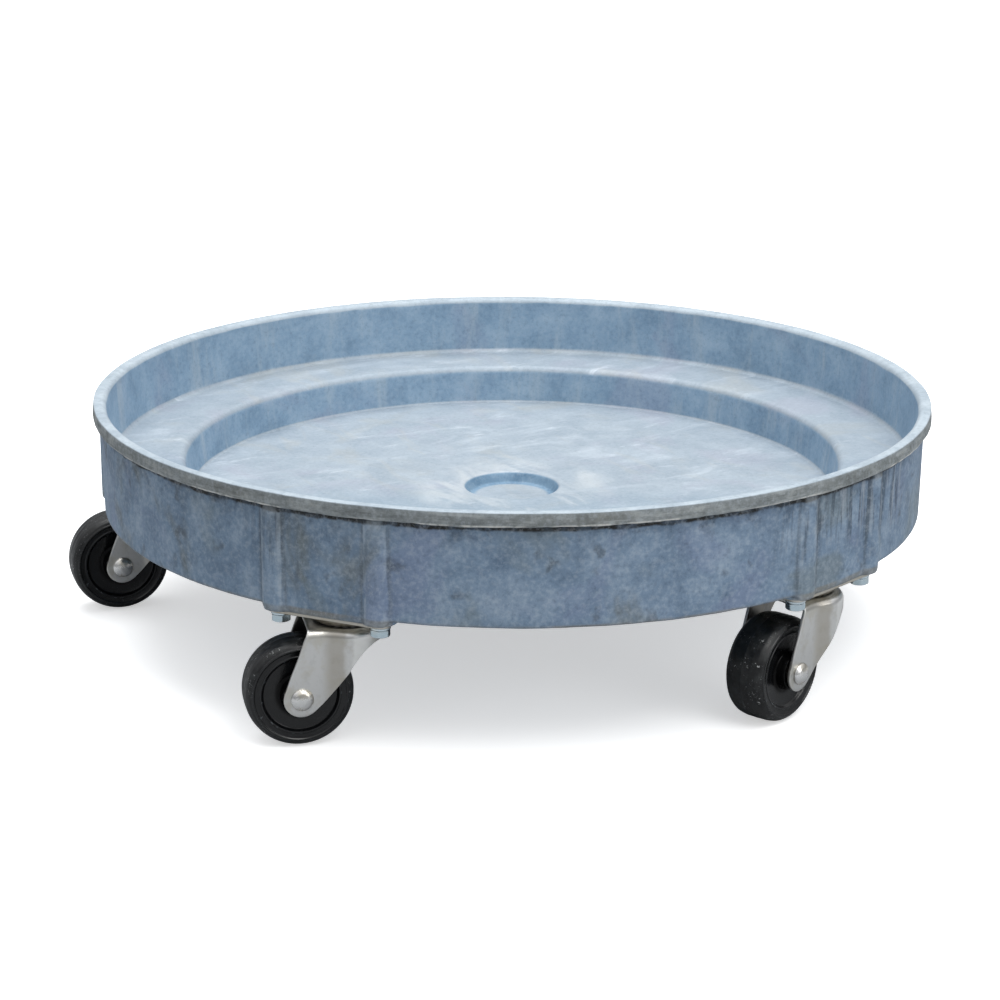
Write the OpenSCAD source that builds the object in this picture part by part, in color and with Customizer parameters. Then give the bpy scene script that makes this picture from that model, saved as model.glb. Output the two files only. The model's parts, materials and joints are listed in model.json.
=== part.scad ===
// Wheeled drum and oil drain pan: one round casting on five swivel casters.
// Millimetres. +Z up, z = 0 on the floor under the wheels, Z axis through the pan's centre,
// +X through the middle of caster 1. Casters are numbered 1 to 5 anticlockwise from +X.
// Names ending in _r are radii, _t thicknesses, _z heights above the floor.

/* [Pan] */
// Radius of the rim at its top outer edge
rim_r = 318; // [317:0.5:320]
// Height of the rim above the skirt's bottom edge
pan_h = 83.2; // [82:0.2:90]
// Height of the lip band round the rim
lip_h = 10.2; // [7:0.2:13]
// How far the lip band stands out from the skirt
lip_out = 4.6; // [3:0.1:6]
// Depth of the upper shelf below the rim
shelf_depth = 46.6; // [42:0.2:50]
// Depth of the inner floor below the rim
floor_depth = 76.6; // [74:0.2:77]
// Radius of the round step, at its top rounding
step_r = 252.5; // [248:0.5:254]
// Thickness of the floor and shelf
floor_t = 6.5; // [5:0.5:7]
// Radius of the round sump in the middle of the floor
sump_r = 36.5; // [25:0.5:60]
// Depth of the sump below the floor
sump_depth = 8; // [6:0.5:12]

/* [Caster mounting] */
// Radius from the pan's centre to each caster's kingpin
kingpin_r = 279; // [277:0.5:280]
// Bolt spacing across the caster plate, along the skirt
bolt_dx = 76.2; // [74:0.2:77]
// Bolt spacing across the caster plate, towards the centre
bolt_dy = 44.5; // [43:0.5:46]
// Radius of the bolt bosses that show as ribs on the skirt
boss_r = 13; // [12.5:0.1:13.5]
// Drop of each caster pad below the skirt's bottom edge
pad_drop = 3; // [2.5:0.5:5]

/* [Caster] */
// Height from the floor to the top of the caster plate
caster_h = 96.8; // [95.8:0.1:100]
// Outside radius of the wheel
wheel_r = 38.1; // [36:0.1:38.4]
// Width of the wheel's tyre
wheel_w = 32; // [30:0.5:33]
// Length of the wheel's hub
hub_len = 38.6; // [37:0.1:38.8]
// Offset of the axle behind the kingpin
trail = 34; // [32:0.5:35]
// Gap between the fork's two legs, inside
fork_gap = 43.2; // [42.6:0.1:44]
// Thickness of the fork's sheet steel
fork_t = 2.4; // [2:0.1:2.5]
// Radius of the fork's round back, about the kingpin
fork_back_r = 29.6; // [29:0.2:30.4]
// Thickness of the caster plate
plate_t = 2.5; // [2:0.1:2.6]

/* [Caster rest headings] */
// Heading of caster 1's wheel from its kingpin, in degrees from +X
heading_1 = 156; // [0:1:359]
// Heading of caster 2's wheel
heading_2 = 172; // [0:1:359]
// Heading of caster 3's wheel
heading_3 = 167; // [0:1:359]
// Heading of caster 4's wheel
heading_4 = 162; // [0:1:359]
// Heading of caster 5's wheel
heading_5 = 200; // [0:1:359]

/* [Hidden] */
caster_count = 5;                   // equally spaced
headings = [heading_1, heading_2, heading_3, heading_4, heading_5];
past = 1;                           // how far cuts and joins run past a face
slip = 0.05;                        // radial clearance of pins in their holes

// Pan
pad_z = caster_h;
skirt_z = pad_z + pad_drop;
rim_z = skirt_z + pan_h;
lip_z = rim_z - lip_h;
shelf_z = rim_z - shelf_depth;
floor_z = rim_z - floor_depth;
sump_z = floor_z - sump_depth;
shelf_under_z = shelf_z - floor_t;
floor_under_z = floor_z - floor_t;
skirt_top_r = rim_r - lip_out;      // skirt, just under the lip
skirt_bottom_r = skirt_top_r - 1.3;
wall_top_r = rim_r - 8;             // inside of the wall at the rim
wall_bottom_r = rim_r - 12.8;       // inside of the wall at the shelf
step_bottom_r = step_r - 3.8;       // inside of the step at the floor
rim_edge_round = 1.4;
wall_round = 3.5;
step_round = 6;
fillet = 4;
sump_round = 3;
sump_fillet = 2.4;
lip_flare = 1.1;                    // lip's lower edge beyond rim_r
// The channel is the hollow under the shelf, between the step and the skirt.
channel_inner_r = step_r + 6.3;
channel_outer_r = skirt_top_r - 9.4;
channel_round = 3;
inner_boss_r = 9;
pocket_r = 22;                      // pocket over each kingpin rivet
pocket_h = 27;
channel_rib_w = 6;
channel_rib_z = skirt_z + 4;
floor_rib_w = 8;
floor_rib_h = 4;
floor_rib_z = skirt_z - 2.6;
ring_fn = 180;

// Plate fasteners
bolt_r = 3.93;
bolt_len = 24.4;                    // shank without its tapered tip
bolt_tip = 1;                       // length of the tip, and its taper in radius
head_flats = 12.7;
head_h = 5.3;
washer_t = 2;
plate_under_z = caster_h - plate_t;
washer_z = plate_under_z - washer_t;

// Swivel bearing, from the fork's crown
crown_z = caster_h - 9.4;
upper_ball_r = 2.38;
upper_pitch_r = 16;
upper_ball_z = crown_z - 1.1 + upper_ball_r;
lower_ball_r = 1.985;
lower_pitch_r = 12.5;
lower_ball_z = crown_z - fork_t - lower_ball_r - 0.1;
dish_z = upper_ball_z + upper_ball_r + 0.05;    // underside of the plate's pressed dish
dish_top_z = dish_z + plate_t;
race_z = lower_ball_z - lower_ball_r - 0.03;    // top of the lower race
kingpin_shank_r = 5;

// Caster plate
plate_x = 60.3;
plate_y = 92;
plate_corner_r = 6;

// Fork, axle and wheel
fork_w = fork_gap + 2 * fork_t;     // over the legs
fork_end_r = 13;                    // rounded leg ends, about the axle
axle_r = 3.95;
sleeve_r = 6;
bush_r = 8.5;
axle_washer_r = 10.5;
axle_washer_t = 1.5;

// Points along an arc, angles in degrees.
function arc(centre, radius, from, to, steps) =
  [for (i = [0 : steps]) let (angle = from + (to - from) * i / steps)
    centre + radius * [cos(angle), sin(angle)]];

// ---------- placing; k is the caster's number ----------
function pad_angle(k) = (k - 1) * 360 / caster_count;
// Puts a caster's own frame (kingpin on its Z axis) at pad k, its X along the pan's radius.
module at_pad(k) {
  rotate([0, 0, pad_angle(k)]) translate([kingpin_r, 0, 0]) children();
}
// Puts a swivelling part at caster k, its X along the way the wheel trails.
module at_swivel(k) {
  at_pad(k) rotate([0, 0, headings[k - 1] - pad_angle(k)]) children();
}
// Puts a wheel part at caster k: its Z axis is the axle.
module at_axle(k) {
  at_swivel(k) translate([trail, 0, wheel_r]) rotate([90, 0, 0]) children();
}
// Repeats a part at the four bolts of a pad.
module at_bolts() {
  for (side_x = [-1, 1], side_y = [-1, 1])
    translate([side_x * bolt_dy / 2, side_y * bolt_dx / 2, 0]) children();
}

// ---------- pan; profiles are [radius, height] ----------
// Top surface from the rim's outer edge to the axis.
function pan_top() = concat(
  arc([rim_r - rim_edge_round, rim_z - rim_edge_round], rim_edge_round, 5, 90, 4),
  arc([wall_top_r + wall_round, rim_z - wall_round], wall_round, 90, 180, 6),
  arc([wall_bottom_r - fillet, shelf_z + fillet], fillet, 0, -90, 5),
  arc([step_r + step_round, shelf_z - step_round], step_round, 90, 180, 7),
  arc([step_bottom_r - fillet, floor_z + fillet], fillet, 0, -90, 5),
  arc([sump_r + sump_round, floor_z - sump_round], sump_round, 90, 180, 5),
  arc([sump_r - 4.6, sump_z + sump_fillet], sump_fillet, 0, -90, 4),
  [[0, sump_z]]);
inside_start = 6;                   // first point of pan_top inside the rim's flat

// Underside from the axis to the lip's lower edge.
function pan_under() = concat(
  [[0, sump_z - 6], [sump_r + 1, sump_z - 6],
   [sump_r + 6, floor_under_z - 0.6], [sump_r + 7.5, floor_under_z],
   [step_bottom_r + 4.5, floor_under_z], [step_bottom_r + 6, floor_under_z + 1.4]],
  arc([channel_inner_r + channel_round, shelf_under_z - channel_round],
    channel_round, 180, 90, 4),
  arc([channel_outer_r - channel_round, shelf_under_z - channel_round],
    channel_round, 90, 0, 4),
  [[skirt_bottom_r - 6.6, skirt_z + 0.8], [skirt_bottom_r - 5.9, skirt_z],
   [skirt_bottom_r - 1.2, skirt_z], [skirt_bottom_r, skirt_z + 1.2],
   [skirt_top_r, lip_z], [rim_r + lip_flare, lip_z]]);

module pan_body() rotate_extrude($fn = ring_fn) polygon(concat(pan_top(), pan_under()));

// Everything that must stay clear above the pan's top surface.
module pan_cavity() {
  top = pan_top();
  above_z = rim_z + 5;
  rotate_extrude($fn = ring_fn)
    polygon(concat([[0, above_z], [wall_top_r + wall_round, above_z]],
      [for (i = [inside_start : len(top) - 1]) top[i]]));
}

// Large bosses on the skirt side of each pad, small ones on the centre side.
module bolt_bosses() {
  for (k = [1 : caster_count]) at_pad(k)
    for (side = [-1, 1]) {
      translate([bolt_dy / 2, side * bolt_dx / 2, pad_z])
        cylinder(r = boss_r, h = lip_z - pad_z + past, $fn = 64);
      translate([-bolt_dy / 2, side * bolt_dx / 2, pad_z])
        cylinder(r = inner_boss_r, h = shelf_under_z - pad_z + past, $fn = 48);
    }
}

// Pads reach out to the skirt's outer face, so that the skirt's edge drops to the plates there.
module pads() intersection() {
  for (k = [1 : caster_count]) at_pad(k)
    translate([-31, -47, pad_z]) cube([70, 94, shelf_under_z + past - pad_z]);
  translate([0, 0, pad_z - past])
    cylinder(r = skirt_bottom_r, h = shelf_z - pad_z + 2 * past, $fn = ring_fn);
}

// Two radial ribs in the channel after each pad.
module channel_ribs() {
  start_r = step_r + 3;
  end_r = skirt_bottom_r - 3;
  for (k = [1 : caster_count], angle = [24, 48])
    rotate([0, 0, pad_angle(k) + angle])
      translate([start_r, -channel_rib_w / 2, channel_rib_z])
        cube([end_r - start_r, channel_rib_w, shelf_under_z + past - channel_rib_z]);
}

// Radial ribs under the floor, from the sump to each pad.
module floor_ribs() {
  start_r = sump_r - 2;
  end_r = kingpin_r - 30;
  for (k = [1 : caster_count]) rotate([0, 0, pad_angle(k)])
    translate([start_r, -floor_rib_w / 2, floor_rib_z])
      cube([end_r - start_r, floor_rib_w, floor_rib_h]);
}

module drain_pan() color([0.47, 0.53, 0.60]) difference() {
  union() {
    pan_body();
    difference() {
      union() {
        bolt_bosses();
        pads();
        channel_ribs();
        floor_ribs();
      }
      pan_cavity();
    }
  }
  for (k = [1 : caster_count]) at_pad(k) {
    at_bolts() translate([0, 0, pad_z - past]) cylinder(r = bolt_r + slip, h = 25, $fn = 32);
    // cored pocket over the kingpin rivet's head
    translate([0, 0, pad_z - past]) cylinder(r = pocket_r, h = pocket_h, $fn = 64);
  }
}

// ---------- fasteners ----------
// Head below z = 0, shank upwards.
module hex_bolt() {
  face_r = 6.2;                     // head's end face, inside the chamfer
  join = 0.01;                      // overlap of shank and head
  intersection() {
    translate([0, 0, -head_h]) cylinder(r = head_flats / 2 / cos(30), h = head_h, $fn = 6);
    translate([0, 0, -head_h])
      cylinder(r1 = face_r, r2 = face_r + head_h * 1.9, h = head_h, $fn = 48);
  }
  translate([0, 0, -join]) cylinder(r = bolt_r, h = bolt_len, $fn = 32);
  translate([0, 0, bolt_len - join])
    cylinder(r1 = bolt_r, r2 = bolt_r - bolt_tip, h = bolt_tip, $fn = 32);
}
module plate_bolts() color([0.72, 0.78, 0.80])
  for (k = [1 : caster_count]) at_pad(k) at_bolts()
    translate([0, 0, washer_z - 0.02]) rotate([0, 0, 20 * k]) hex_bolt();

// Split ring.
module lock_washer() difference() {
  cylinder(r = 7.1, h = washer_t - 0.04, $fn = 48);
  translate([0, 0, -past]) cylinder(r = 4.15, h = 4, $fn = 32);
  rotate([0, 0, 35]) translate([3, -0.5, -past]) cube([6, 1, 4]);
}
module lock_washers() color([0.70, 0.74, 0.76])
  for (k = [1 : caster_count]) at_pad(k) at_bolts()
    translate([0, 0, washer_z]) rotate([0, 0, 70 * k]) lock_washer();

// [radius, height], from the lower head up.
module kingpin_rivet() rotate_extrude($fn = 64) polygon([
  [0, race_z - 4.9], [4, race_z - 4.7], [6.6, race_z - 4], [7.8, race_z - 2.7],
  [7.8, race_z - 2.05], [kingpin_shank_r, race_z - 2.05],
  [kingpin_shank_r, dish_top_z + 0.03], [9, dish_top_z + 0.03],
  [9, caster_h - 1.1], [8.2, caster_h - 0.4], [0, caster_h - 0.4]]);
module kingpin_rivets() color([0.66, 0.66, 0.64])
  for (k = [1 : caster_count]) at_pad(k) kingpin_rivet();

// ---------- caster plate and bearing ----------
// Rectangle with rounded corners.
module plate_outline() {
  cut = plate_corner_r + past;
  difference() {
    square([plate_x, plate_y], center = true);
    for (side_x = [-1, 1], side_y = [-1, 1])
      translate([side_x * (plate_x / 2 - plate_corner_r),
          side_y * (plate_y / 2 - plate_corner_r)])
        difference() {
          translate([side_x > 0 ? 0 : -cut, side_y > 0 ? 0 : -cut]) square([cut, cut]);
          circle(r = plate_corner_r, $fn = 48);
        }
  }
}
// Round-ended slot along Y.
module slot(length, width, height) {
  straight = length - width;
  translate([0, -straight / 2, 0]) cylinder(r = width / 2, h = height, $fn = 32);
  translate([0, straight / 2, 0]) cylinder(r = width / 2, h = height, $fn = 32);
  translate([-width / 2, -straight / 2, 0]) cube([width, straight, height]);
}
// Pressed dish that carries the upper race, with a bead hanging round the balls:
// [radius, height], underside outwards, then top side inwards.
module plate_dish() rotate_extrude($fn = 96) polygon([
  [kingpin_shank_r + slip, dish_z], [18.9, dish_z], [19.5, dish_z - 2.2],
  [20.2, dish_z - 2.6], [22.4, dish_z - 2.6], [23.2, dish_z - 2.2],
  [26.6, plate_under_z - 0.7], [27.8, plate_under_z],
  [27.8, caster_h], [26.2, caster_h - 0.2], [25.3, caster_h - 0.8],
  [22.1, dish_z + 0.2], [21.4, dish_z - 0.1], [20.9, dish_z - 0.1], [20.3, dish_z + 0.3],
  [18.6, dish_top_z], [kingpin_shank_r + slip, dish_top_z]]);
module caster_plate(k) color([0.76, 0.75, 0.70]) at_pad(k) difference() {
  union() {
    difference() {
      translate([0, 0, plate_under_z]) linear_extrude(plate_t) plate_outline();
      translate([0, 0, plate_under_z - past])
        cylinder(r = 26, h = plate_t + 2 * past, $fn = 96);
    }
    plate_dish();
  }
  at_bolts() translate([0, 0, plate_under_z - past]) slot(10.3, 8.7, plate_t + 2 * past);
}

// Shallow cup under the lower balls: [radius, height].
module lower_race(k) color([0.62, 0.62, 0.60]) at_pad(k) rotate_extrude($fn = 96)
  polygon([
    [kingpin_shank_r + slip, race_z - 2], [15.6, race_z - 2], [16.7, race_z - 1],
    [16.9, race_z + 2.6], [15.3, race_z + 2.6], [15.1, race_z + 0.5],
    [14.7, race_z], [kingpin_shank_r + slip, race_z]]);

module ball_ring(count, pitch_r, ball_r)
  for (i = [0 : count - 1])
    rotate([0, 0, i * 360 / count]) translate([pitch_r, 0, 0]) sphere(r = ball_r, $fn = 32);
module upper_balls(k) color([0.8, 0.8, 0.8]) at_swivel(k)
  translate([0, 0, upper_ball_z]) ball_ring(18, upper_pitch_r, upper_ball_r - 0.01);
module lower_balls(k) color([0.8, 0.8, 0.8]) at_swivel(k)
  translate([0, 0, lower_ball_z]) ball_ring(16, lower_pitch_r, lower_ball_r);

// ---------- fork ----------
// Half section of the horn, with a rounded shoulder: [offset from the middle, height].
function half_section(half_w, top, bend_r, bottom) = concat(
  [[0, bottom], [half_w, bottom]],
  arc([half_w - bend_r, top - bend_r], bend_r, 0, 90, 8),
  [[0, top]]);
// A solid horn: a round back about the kingpin and a straight part reaching along +X.
module horn(half_w, back_r, top, bend_r, bottom, reach) {
  half = half_section(half_w, top, bend_r, bottom);
  rotate([90, 0, 90]) linear_extrude(reach)
    polygon(concat(half, [for (i = [len(half) - 2 : -1 : 1]) [-half[i][0], half[i][1]]]));
  rotate_extrude($fn = 128) polygon(half_section(back_r, top, bend_r, bottom));
}
// Side outline, [x, height]: down the back edge, round the axle, up the other edge.
function fork_side() = concat(
  [[-32, crown_z + 2], [-32, 80.2], [-24, 79.4], [-19.2, 78], [-14.8, 76], [-10.2, 73],
   [-7.1, 70], [-4.6, 67], [-2.3, 64], [-0.2, 61], [1.6, 58],
   [3.6, 55], [5.8, 52], [11, 44.9], [18.6, 35.4]],
  arc([trail, wheel_r], fork_end_r, 221, 381, 18),
  [[42.4, 51.9], [37.1, 64.9], [33.1, 75.8], [31, 81.5], [29.6, 85], [28.8, crown_z + 2]]);
module fork(k) color([0.74, 0.74, 0.72]) at_swivel(k) difference() {
  intersection() {
    difference() {
      horn(fork_w / 2, fork_back_r, crown_z, 6, 20, 52);
      horn(fork_gap / 2, fork_back_r - fork_t, crown_z - fork_t, 3.6, 18, 54);
    }
    translate([0, 33, 0]) rotate([90, 0, 0]) linear_extrude(66) polygon(fork_side());
  }
  // kingpin hole, ball groove and axle holes
  translate([0, 0, crown_z - 5]) cylinder(r = 6.5, h = 8, $fn = 48);
  translate([0, 0, upper_ball_z]) rotate_extrude($fn = 96)
    translate([upper_pitch_r, 0]) circle(r = upper_ball_r + 0.04, $fn = 32);
  translate([trail, 40, wheel_r]) rotate([90, 0, 0])
    cylinder(r = axle_r + slip, h = 80, $fn = 48);
}

// ---------- axle and wheel; profiles are [radius, place along the axle] ----------
// Domed head at one end, flatter peened head at the other.
module axle_rivet(k) {
  face = fork_w / 2;                // outer face of a fork leg
  dome_r = 13.25;
  dome_h = 4.4;
  color([0.80, 0.80, 0.79]) at_axle(k) rotate_extrude($fn = 64) polygon(concat(
    arc([0, -face - dome_h + dome_r], dome_r, 270, 302, 6),
    [[7.8, -face - 1.4], [7.9, -face - 0.8], [7.5, -face - 0.03],
     [axle_r, -face - 0.03], [axle_r, face + 0.03],
     [6.5, face + 0.03], [6.4, face + 1], [5.4, face + 2], [3.4, face + 2.5], [0, face + 2.6]]));
}

module tube(outer_r, inner_r, length) difference() {
  translate([0, 0, -length / 2]) cylinder(r = outer_r, h = length, $fn = 64);
  translate([0, 0, -length / 2 - past]) cylinder(r = inner_r, h = length + 2 * past, $fn = 64);
}
module spacer_sleeve(k) color([0.70, 0.70, 0.68]) at_axle(k)
  tube(sleeve_r, axle_r + slip, fork_gap - 0.1);
module wheel_bush(k) color([0.55, 0.50, 0.42]) at_axle(k)
  tube(bush_r, sleeve_r + 0.06, hub_len + 0.8);
module axle_washers(k) color([0.66, 0.66, 0.65]) at_axle(k)
  for (side = [-1, 1]) translate([0, 0, side * (fork_gap / 2 - axle_washer_t / 2 - 0.1)])
    tube(axle_washer_r, sleeve_r + 0.04, axle_washer_t);

// One half of the wheel: tread, shoulder, side face, web and hub.
function wheel_half() = [
  [wheel_r, 0], [wheel_r, 6.5], [wheel_r - 0.12, 8.6], [wheel_r - 0.45, 10.5],
  [wheel_r - 1.1, 12.3], [wheel_r - 2.1, 13.8], [wheel_r - 3.3, 14.9], [wheel_r - 4.4, 15.4],
  [wheel_r - 4.8, wheel_w / 2 - 0.1], [wheel_r - 5.6, wheel_w / 2],
  [wheel_r - 6.4, wheel_w / 2 - 0.6], [wheel_r - 9.6, 14.7],
  [wheel_r - 10.4, 15.1], [wheel_r - 11.2, 14.9], [wheel_r - 12.4, 12.6],
  [15.6, 11.8], [14, 12.4], [13.2, 15.4],
  [12.6, hub_len / 2 - 0.6], [12, hub_len / 2], [bush_r + slip, hub_len / 2]];
module wheel(k) {
  half = wheel_half();
  color([0.05, 0.05, 0.055]) at_axle(k) rotate_extrude($fn = 128)
    polygon(concat(half, [for (i = [len(half) - 1 : -1 : 1]) [half[i][0], -half[i][1]]]));
}

drain_pan();
plate_bolts();
lock_washers();
kingpin_rivets();
caster_plate(1);  // caster_plate_1
caster_plate(2);  // caster_plate_2
caster_plate(3);  // caster_plate_3
caster_plate(4);  // caster_plate_4
caster_plate(5);  // caster_plate_5
lower_race(1);  // lower_race_1
lower_race(2);  // lower_race_2
lower_race(3);  // lower_race_3
lower_race(4);  // lower_race_4
lower_race(5);  // lower_race_5
fork(1);  // fork_1
fork(2);  // fork_2
fork(3);  // fork_3
fork(4);  // fork_4
fork(5);  // fork_5
upper_balls(1);  // upper_balls_1
upper_balls(2);  // upper_balls_2
upper_balls(3);  // upper_balls_3
upper_balls(4);  // upper_balls_4
upper_balls(5);  // upper_balls_5
lower_balls(1);  // lower_balls_1
lower_balls(2);  // lower_balls_2
lower_balls(3);  // lower_balls_3
lower_balls(4);  // lower_balls_4
lower_balls(5);  // lower_balls_5
axle_rivet(1);  // axle_rivet_1
axle_rivet(2);  // axle_rivet_2
axle_rivet(3);  // axle_rivet_3
axle_rivet(4);  // axle_rivet_4
axle_rivet(5);  // axle_rivet_5
spacer_sleeve(1);  // spacer_sleeve_1
spacer_sleeve(2);  // spacer_sleeve_2
spacer_sleeve(3);  // spacer_sleeve_3
spacer_sleeve(4);  // spacer_sleeve_4
spacer_sleeve(5);  // spacer_sleeve_5
wheel(1);  // wheel_1
wheel(2);  // wheel_2
wheel(3);  // wheel_3
wheel(4);  // wheel_4
wheel(5);  // wheel_5
wheel_bush(1);  // wheel_bush_1
wheel_bush(2);  // wheel_bush_2
wheel_bush(3);  // wheel_bush_3
wheel_bush(4);  // wheel_bush_4
wheel_bush(5);  // wheel_bush_5
axle_washers(1);  // axle_washers_1
axle_washers(2);  // axle_washers_2
axle_washers(3);  // axle_washers_3
axle_washers(4);  // axle_washers_4
axle_washers(5);  // axle_washers_5
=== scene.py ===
"""A round cast-aluminium drain pan on five swivel casters, with stage, lights and camera.

The pan's axis is Z, +Z is up and the floor is at z = 0. The scene is in metres; part
dimensions are in mm and are turned into metres by MM. Caster parts are built once, in a
kingpin, swivel or axle frame, and placed five times.
"""
import json
import math
from functools import reduce
from itertools import product

import bmesh
import bpy
import numpy as np
from mathutils import Matrix, Vector, noise


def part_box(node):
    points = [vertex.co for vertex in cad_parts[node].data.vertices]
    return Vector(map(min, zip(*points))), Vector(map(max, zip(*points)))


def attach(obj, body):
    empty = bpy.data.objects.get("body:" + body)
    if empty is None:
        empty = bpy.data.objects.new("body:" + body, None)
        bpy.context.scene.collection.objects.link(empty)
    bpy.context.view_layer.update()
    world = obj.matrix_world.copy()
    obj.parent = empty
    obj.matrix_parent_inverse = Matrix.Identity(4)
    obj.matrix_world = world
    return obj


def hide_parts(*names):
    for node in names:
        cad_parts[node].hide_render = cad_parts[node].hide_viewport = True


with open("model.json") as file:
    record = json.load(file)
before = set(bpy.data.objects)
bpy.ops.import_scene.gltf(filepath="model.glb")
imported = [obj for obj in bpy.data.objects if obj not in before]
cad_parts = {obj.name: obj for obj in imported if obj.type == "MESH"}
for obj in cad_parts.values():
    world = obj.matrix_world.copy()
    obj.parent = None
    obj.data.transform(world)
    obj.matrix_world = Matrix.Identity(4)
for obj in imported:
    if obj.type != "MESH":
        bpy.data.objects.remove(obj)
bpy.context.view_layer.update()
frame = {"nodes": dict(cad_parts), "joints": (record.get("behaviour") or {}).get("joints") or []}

# ---------------------------------------------------------------- places and driving sizes
MM = 0.001
CASTERS = range(1, 6)
joints = {j["name"]: j for j in frame["joints"]}
kingpin = {k: Vector(joints[f"swivel_turn_{k}"]["pos_m"]) for k in CASTERS}
axle = {k: Vector(joints[f"wheel_spin_{k}"]["pos_m"]) for k in CASTERS}
kingpin_angle = {k: math.atan2(kingpin[k].y, kingpin[k].x) for k in CASTERS}

RIM_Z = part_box("drain_pan")[1].z / MM
PAD_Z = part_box("caster_plate_1")[1].z / MM     # where the plates meet the pan
CROWN_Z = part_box("fork_1")[1].z / MM
AXLE_Z = axle[1].z / MM
KINGPIN_R = math.hypot(kingpin[1].x, kingpin[1].y) / MM
TRAIL = math.hypot(axle[1].x - kingpin[1].x, axle[1].y - kingpin[1].y) / MM

LIP_Z = RIM_Z - 10.2                           # lower edge of the lip
SKIRT_Z = PAD_Z + 3.0                          # foot of the skirt, between the pads
SHELF_Z = RIM_Z - 46.6
FLOOR_Z = RIM_Z - 76.6
SUMP_Z = FLOOR_Z - 8.0
WALL_T = 6.5
SHELF_UNDER = SHELF_Z - WALL_T
FLOOR_UNDER = FLOOR_Z - WALL_T
RIM_R, LIP_R = 318.0, 319.1
SKIRT_TOP_R, SKIRT_FOOT_R = 313.4, 312.1

HOLE_X, HOLE_Y = 22.25, 38.1                   # bolts, from the kingpin
BOSS_R = 13.0
BOSS_D = math.hypot(KINGPIN_R + HOLE_X, HOLE_Y)
BOSS_A = math.atan2(HOLE_Y, KINGPIN_R + HOLE_X)
boss_angles = [kingpin_angle[k] + side * BOSS_A for k in CASTERS for side in (-1, 1)]

PLATE_T = 2.5
LOCK_WASHER_T = 2.0
GROOVE_D = 1.1                                 # depth of the ball groove in the crown
DISH_Z = CROWN_Z - GROOVE_D + 2 * 2.38 + 0.05  # underside of the plate's raised middle
FORK_T = 2.4
RACE_Z = CROWN_Z - FORK_T - 1.985 - 0.1 - 1.985 - 0.03


def wrapped(angle):
    return (angle + math.pi) % (2 * math.pi) - math.pi


def clamp(value):
    return min(1.0, max(0.0, value))


def turn(angle):
    return Matrix.Rotation(angle, 4, "Z")


def at_kingpin(k, angle):
    return Matrix.Translation((kingpin[k].x, kingpin[k].y, 0)) @ turn(angle)


def pad_matrix(k):
    """Kingpin frame, with X pointing away from the pan's axis."""
    return at_kingpin(k, kingpin_angle[k])


def swivel_matrix(k):
    """Kingpin frame, with X pointing at the axle."""
    return at_kingpin(k, math.atan2(axle[k].y - kingpin[k].y, axle[k].x - kingpin[k].x))


def axle_matrix(k):
    """Local Z is the axle; local -Z points at the swivel frame's +Y side."""
    to_axle = Matrix.Translation((TRAIL * MM, 0, AXLE_Z * MM))
    return swivel_matrix(k) @ to_axle @ Matrix.Rotation(math.radians(90), 4, "X")


# ---------------------------------------------------------------- mesh helpers
def link(name, data):
    piece = bpy.data.objects.new(name, data)
    bpy.context.scene.collection.objects.link(piece)
    return piece


def new_object(name, shape):
    """Smooth object, with outward normals, from (verts in mm, faces)."""
    verts, faces = shape
    mesh = bpy.data.meshes.new(name)
    mesh.from_pydata([tuple(float(c) * MM for c in v) for v in verts], [],
                     [tuple(int(i) for i in f) for f in faces])
    mesh.validate()
    mesh.shade_smooth()
    mesh.update()
    bm = bmesh.new()
    bm.from_mesh(mesh)
    bmesh.ops.recalc_face_normals(bm, faces=bm.faces)
    bm.to_mesh(mesh)
    bm.free()
    return link(name, mesh)


def round_path(points, seg=5):
    """Polyline through (r, z, corner radius) points, with the corners rounded."""
    out = []
    for i, (r, z, radius) in enumerate(points):
        if i in (0, len(points) - 1) or radius <= 0:
            out.append((r, z))
            continue
        corner = np.array((r, z), float)
        back = np.array(points[i - 1][:2], float) - corner
        ahead = np.array(points[i + 1][:2], float) - corner
        back_run, ahead_run = np.linalg.norm(back), np.linalg.norm(ahead)
        back, ahead = back / back_run, ahead / ahead_run
        angle = math.acos(max(-1, min(1, float(back @ ahead))))
        if angle > math.pi - 0.02:
            out.append((r, z))
            continue
        reach = min(radius / math.tan(angle / 2), back_run * 0.49, ahead_run * 0.49)
        arc = reach * math.tan(angle / 2)
        middle = back + ahead
        centre = corner + middle / np.linalg.norm(middle) * (arc / math.sin(angle / 2))
        start = math.atan2(*(corner + back * reach - centre)[::-1])
        end = math.atan2(*(corner + ahead * reach - centre)[::-1])
        for s in range(seg + 1):
            w = start + wrapped(end - start) * s / seg
            out.append((float(centre[0] + arc * math.cos(w)),
                        float(centre[1] + arc * math.sin(w))))
    return out


def dense(path, step):
    """Splits a polyline so that no piece is longer than step."""
    out = [path[0]]
    for a, b in zip(path, path[1:]):
        n = max(1, int(math.ceil(math.dist(a, b) / step)))
        for s in range(1, n + 1):
            out.append((a[0] + (b[0] - a[0]) * s / n, a[1] + (b[1] - a[1]) * s / n))
    return out


def circle(n):
    return np.linspace(0, 2 * math.pi, n, endpoint=False)


def ring(r, angles, z):
    """Points round Z; r and z are numbers or one value for each angle."""
    return list(zip(r * np.cos(angles), r * np.sin(angles), np.broadcast_to(z, angles.shape)))


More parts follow.
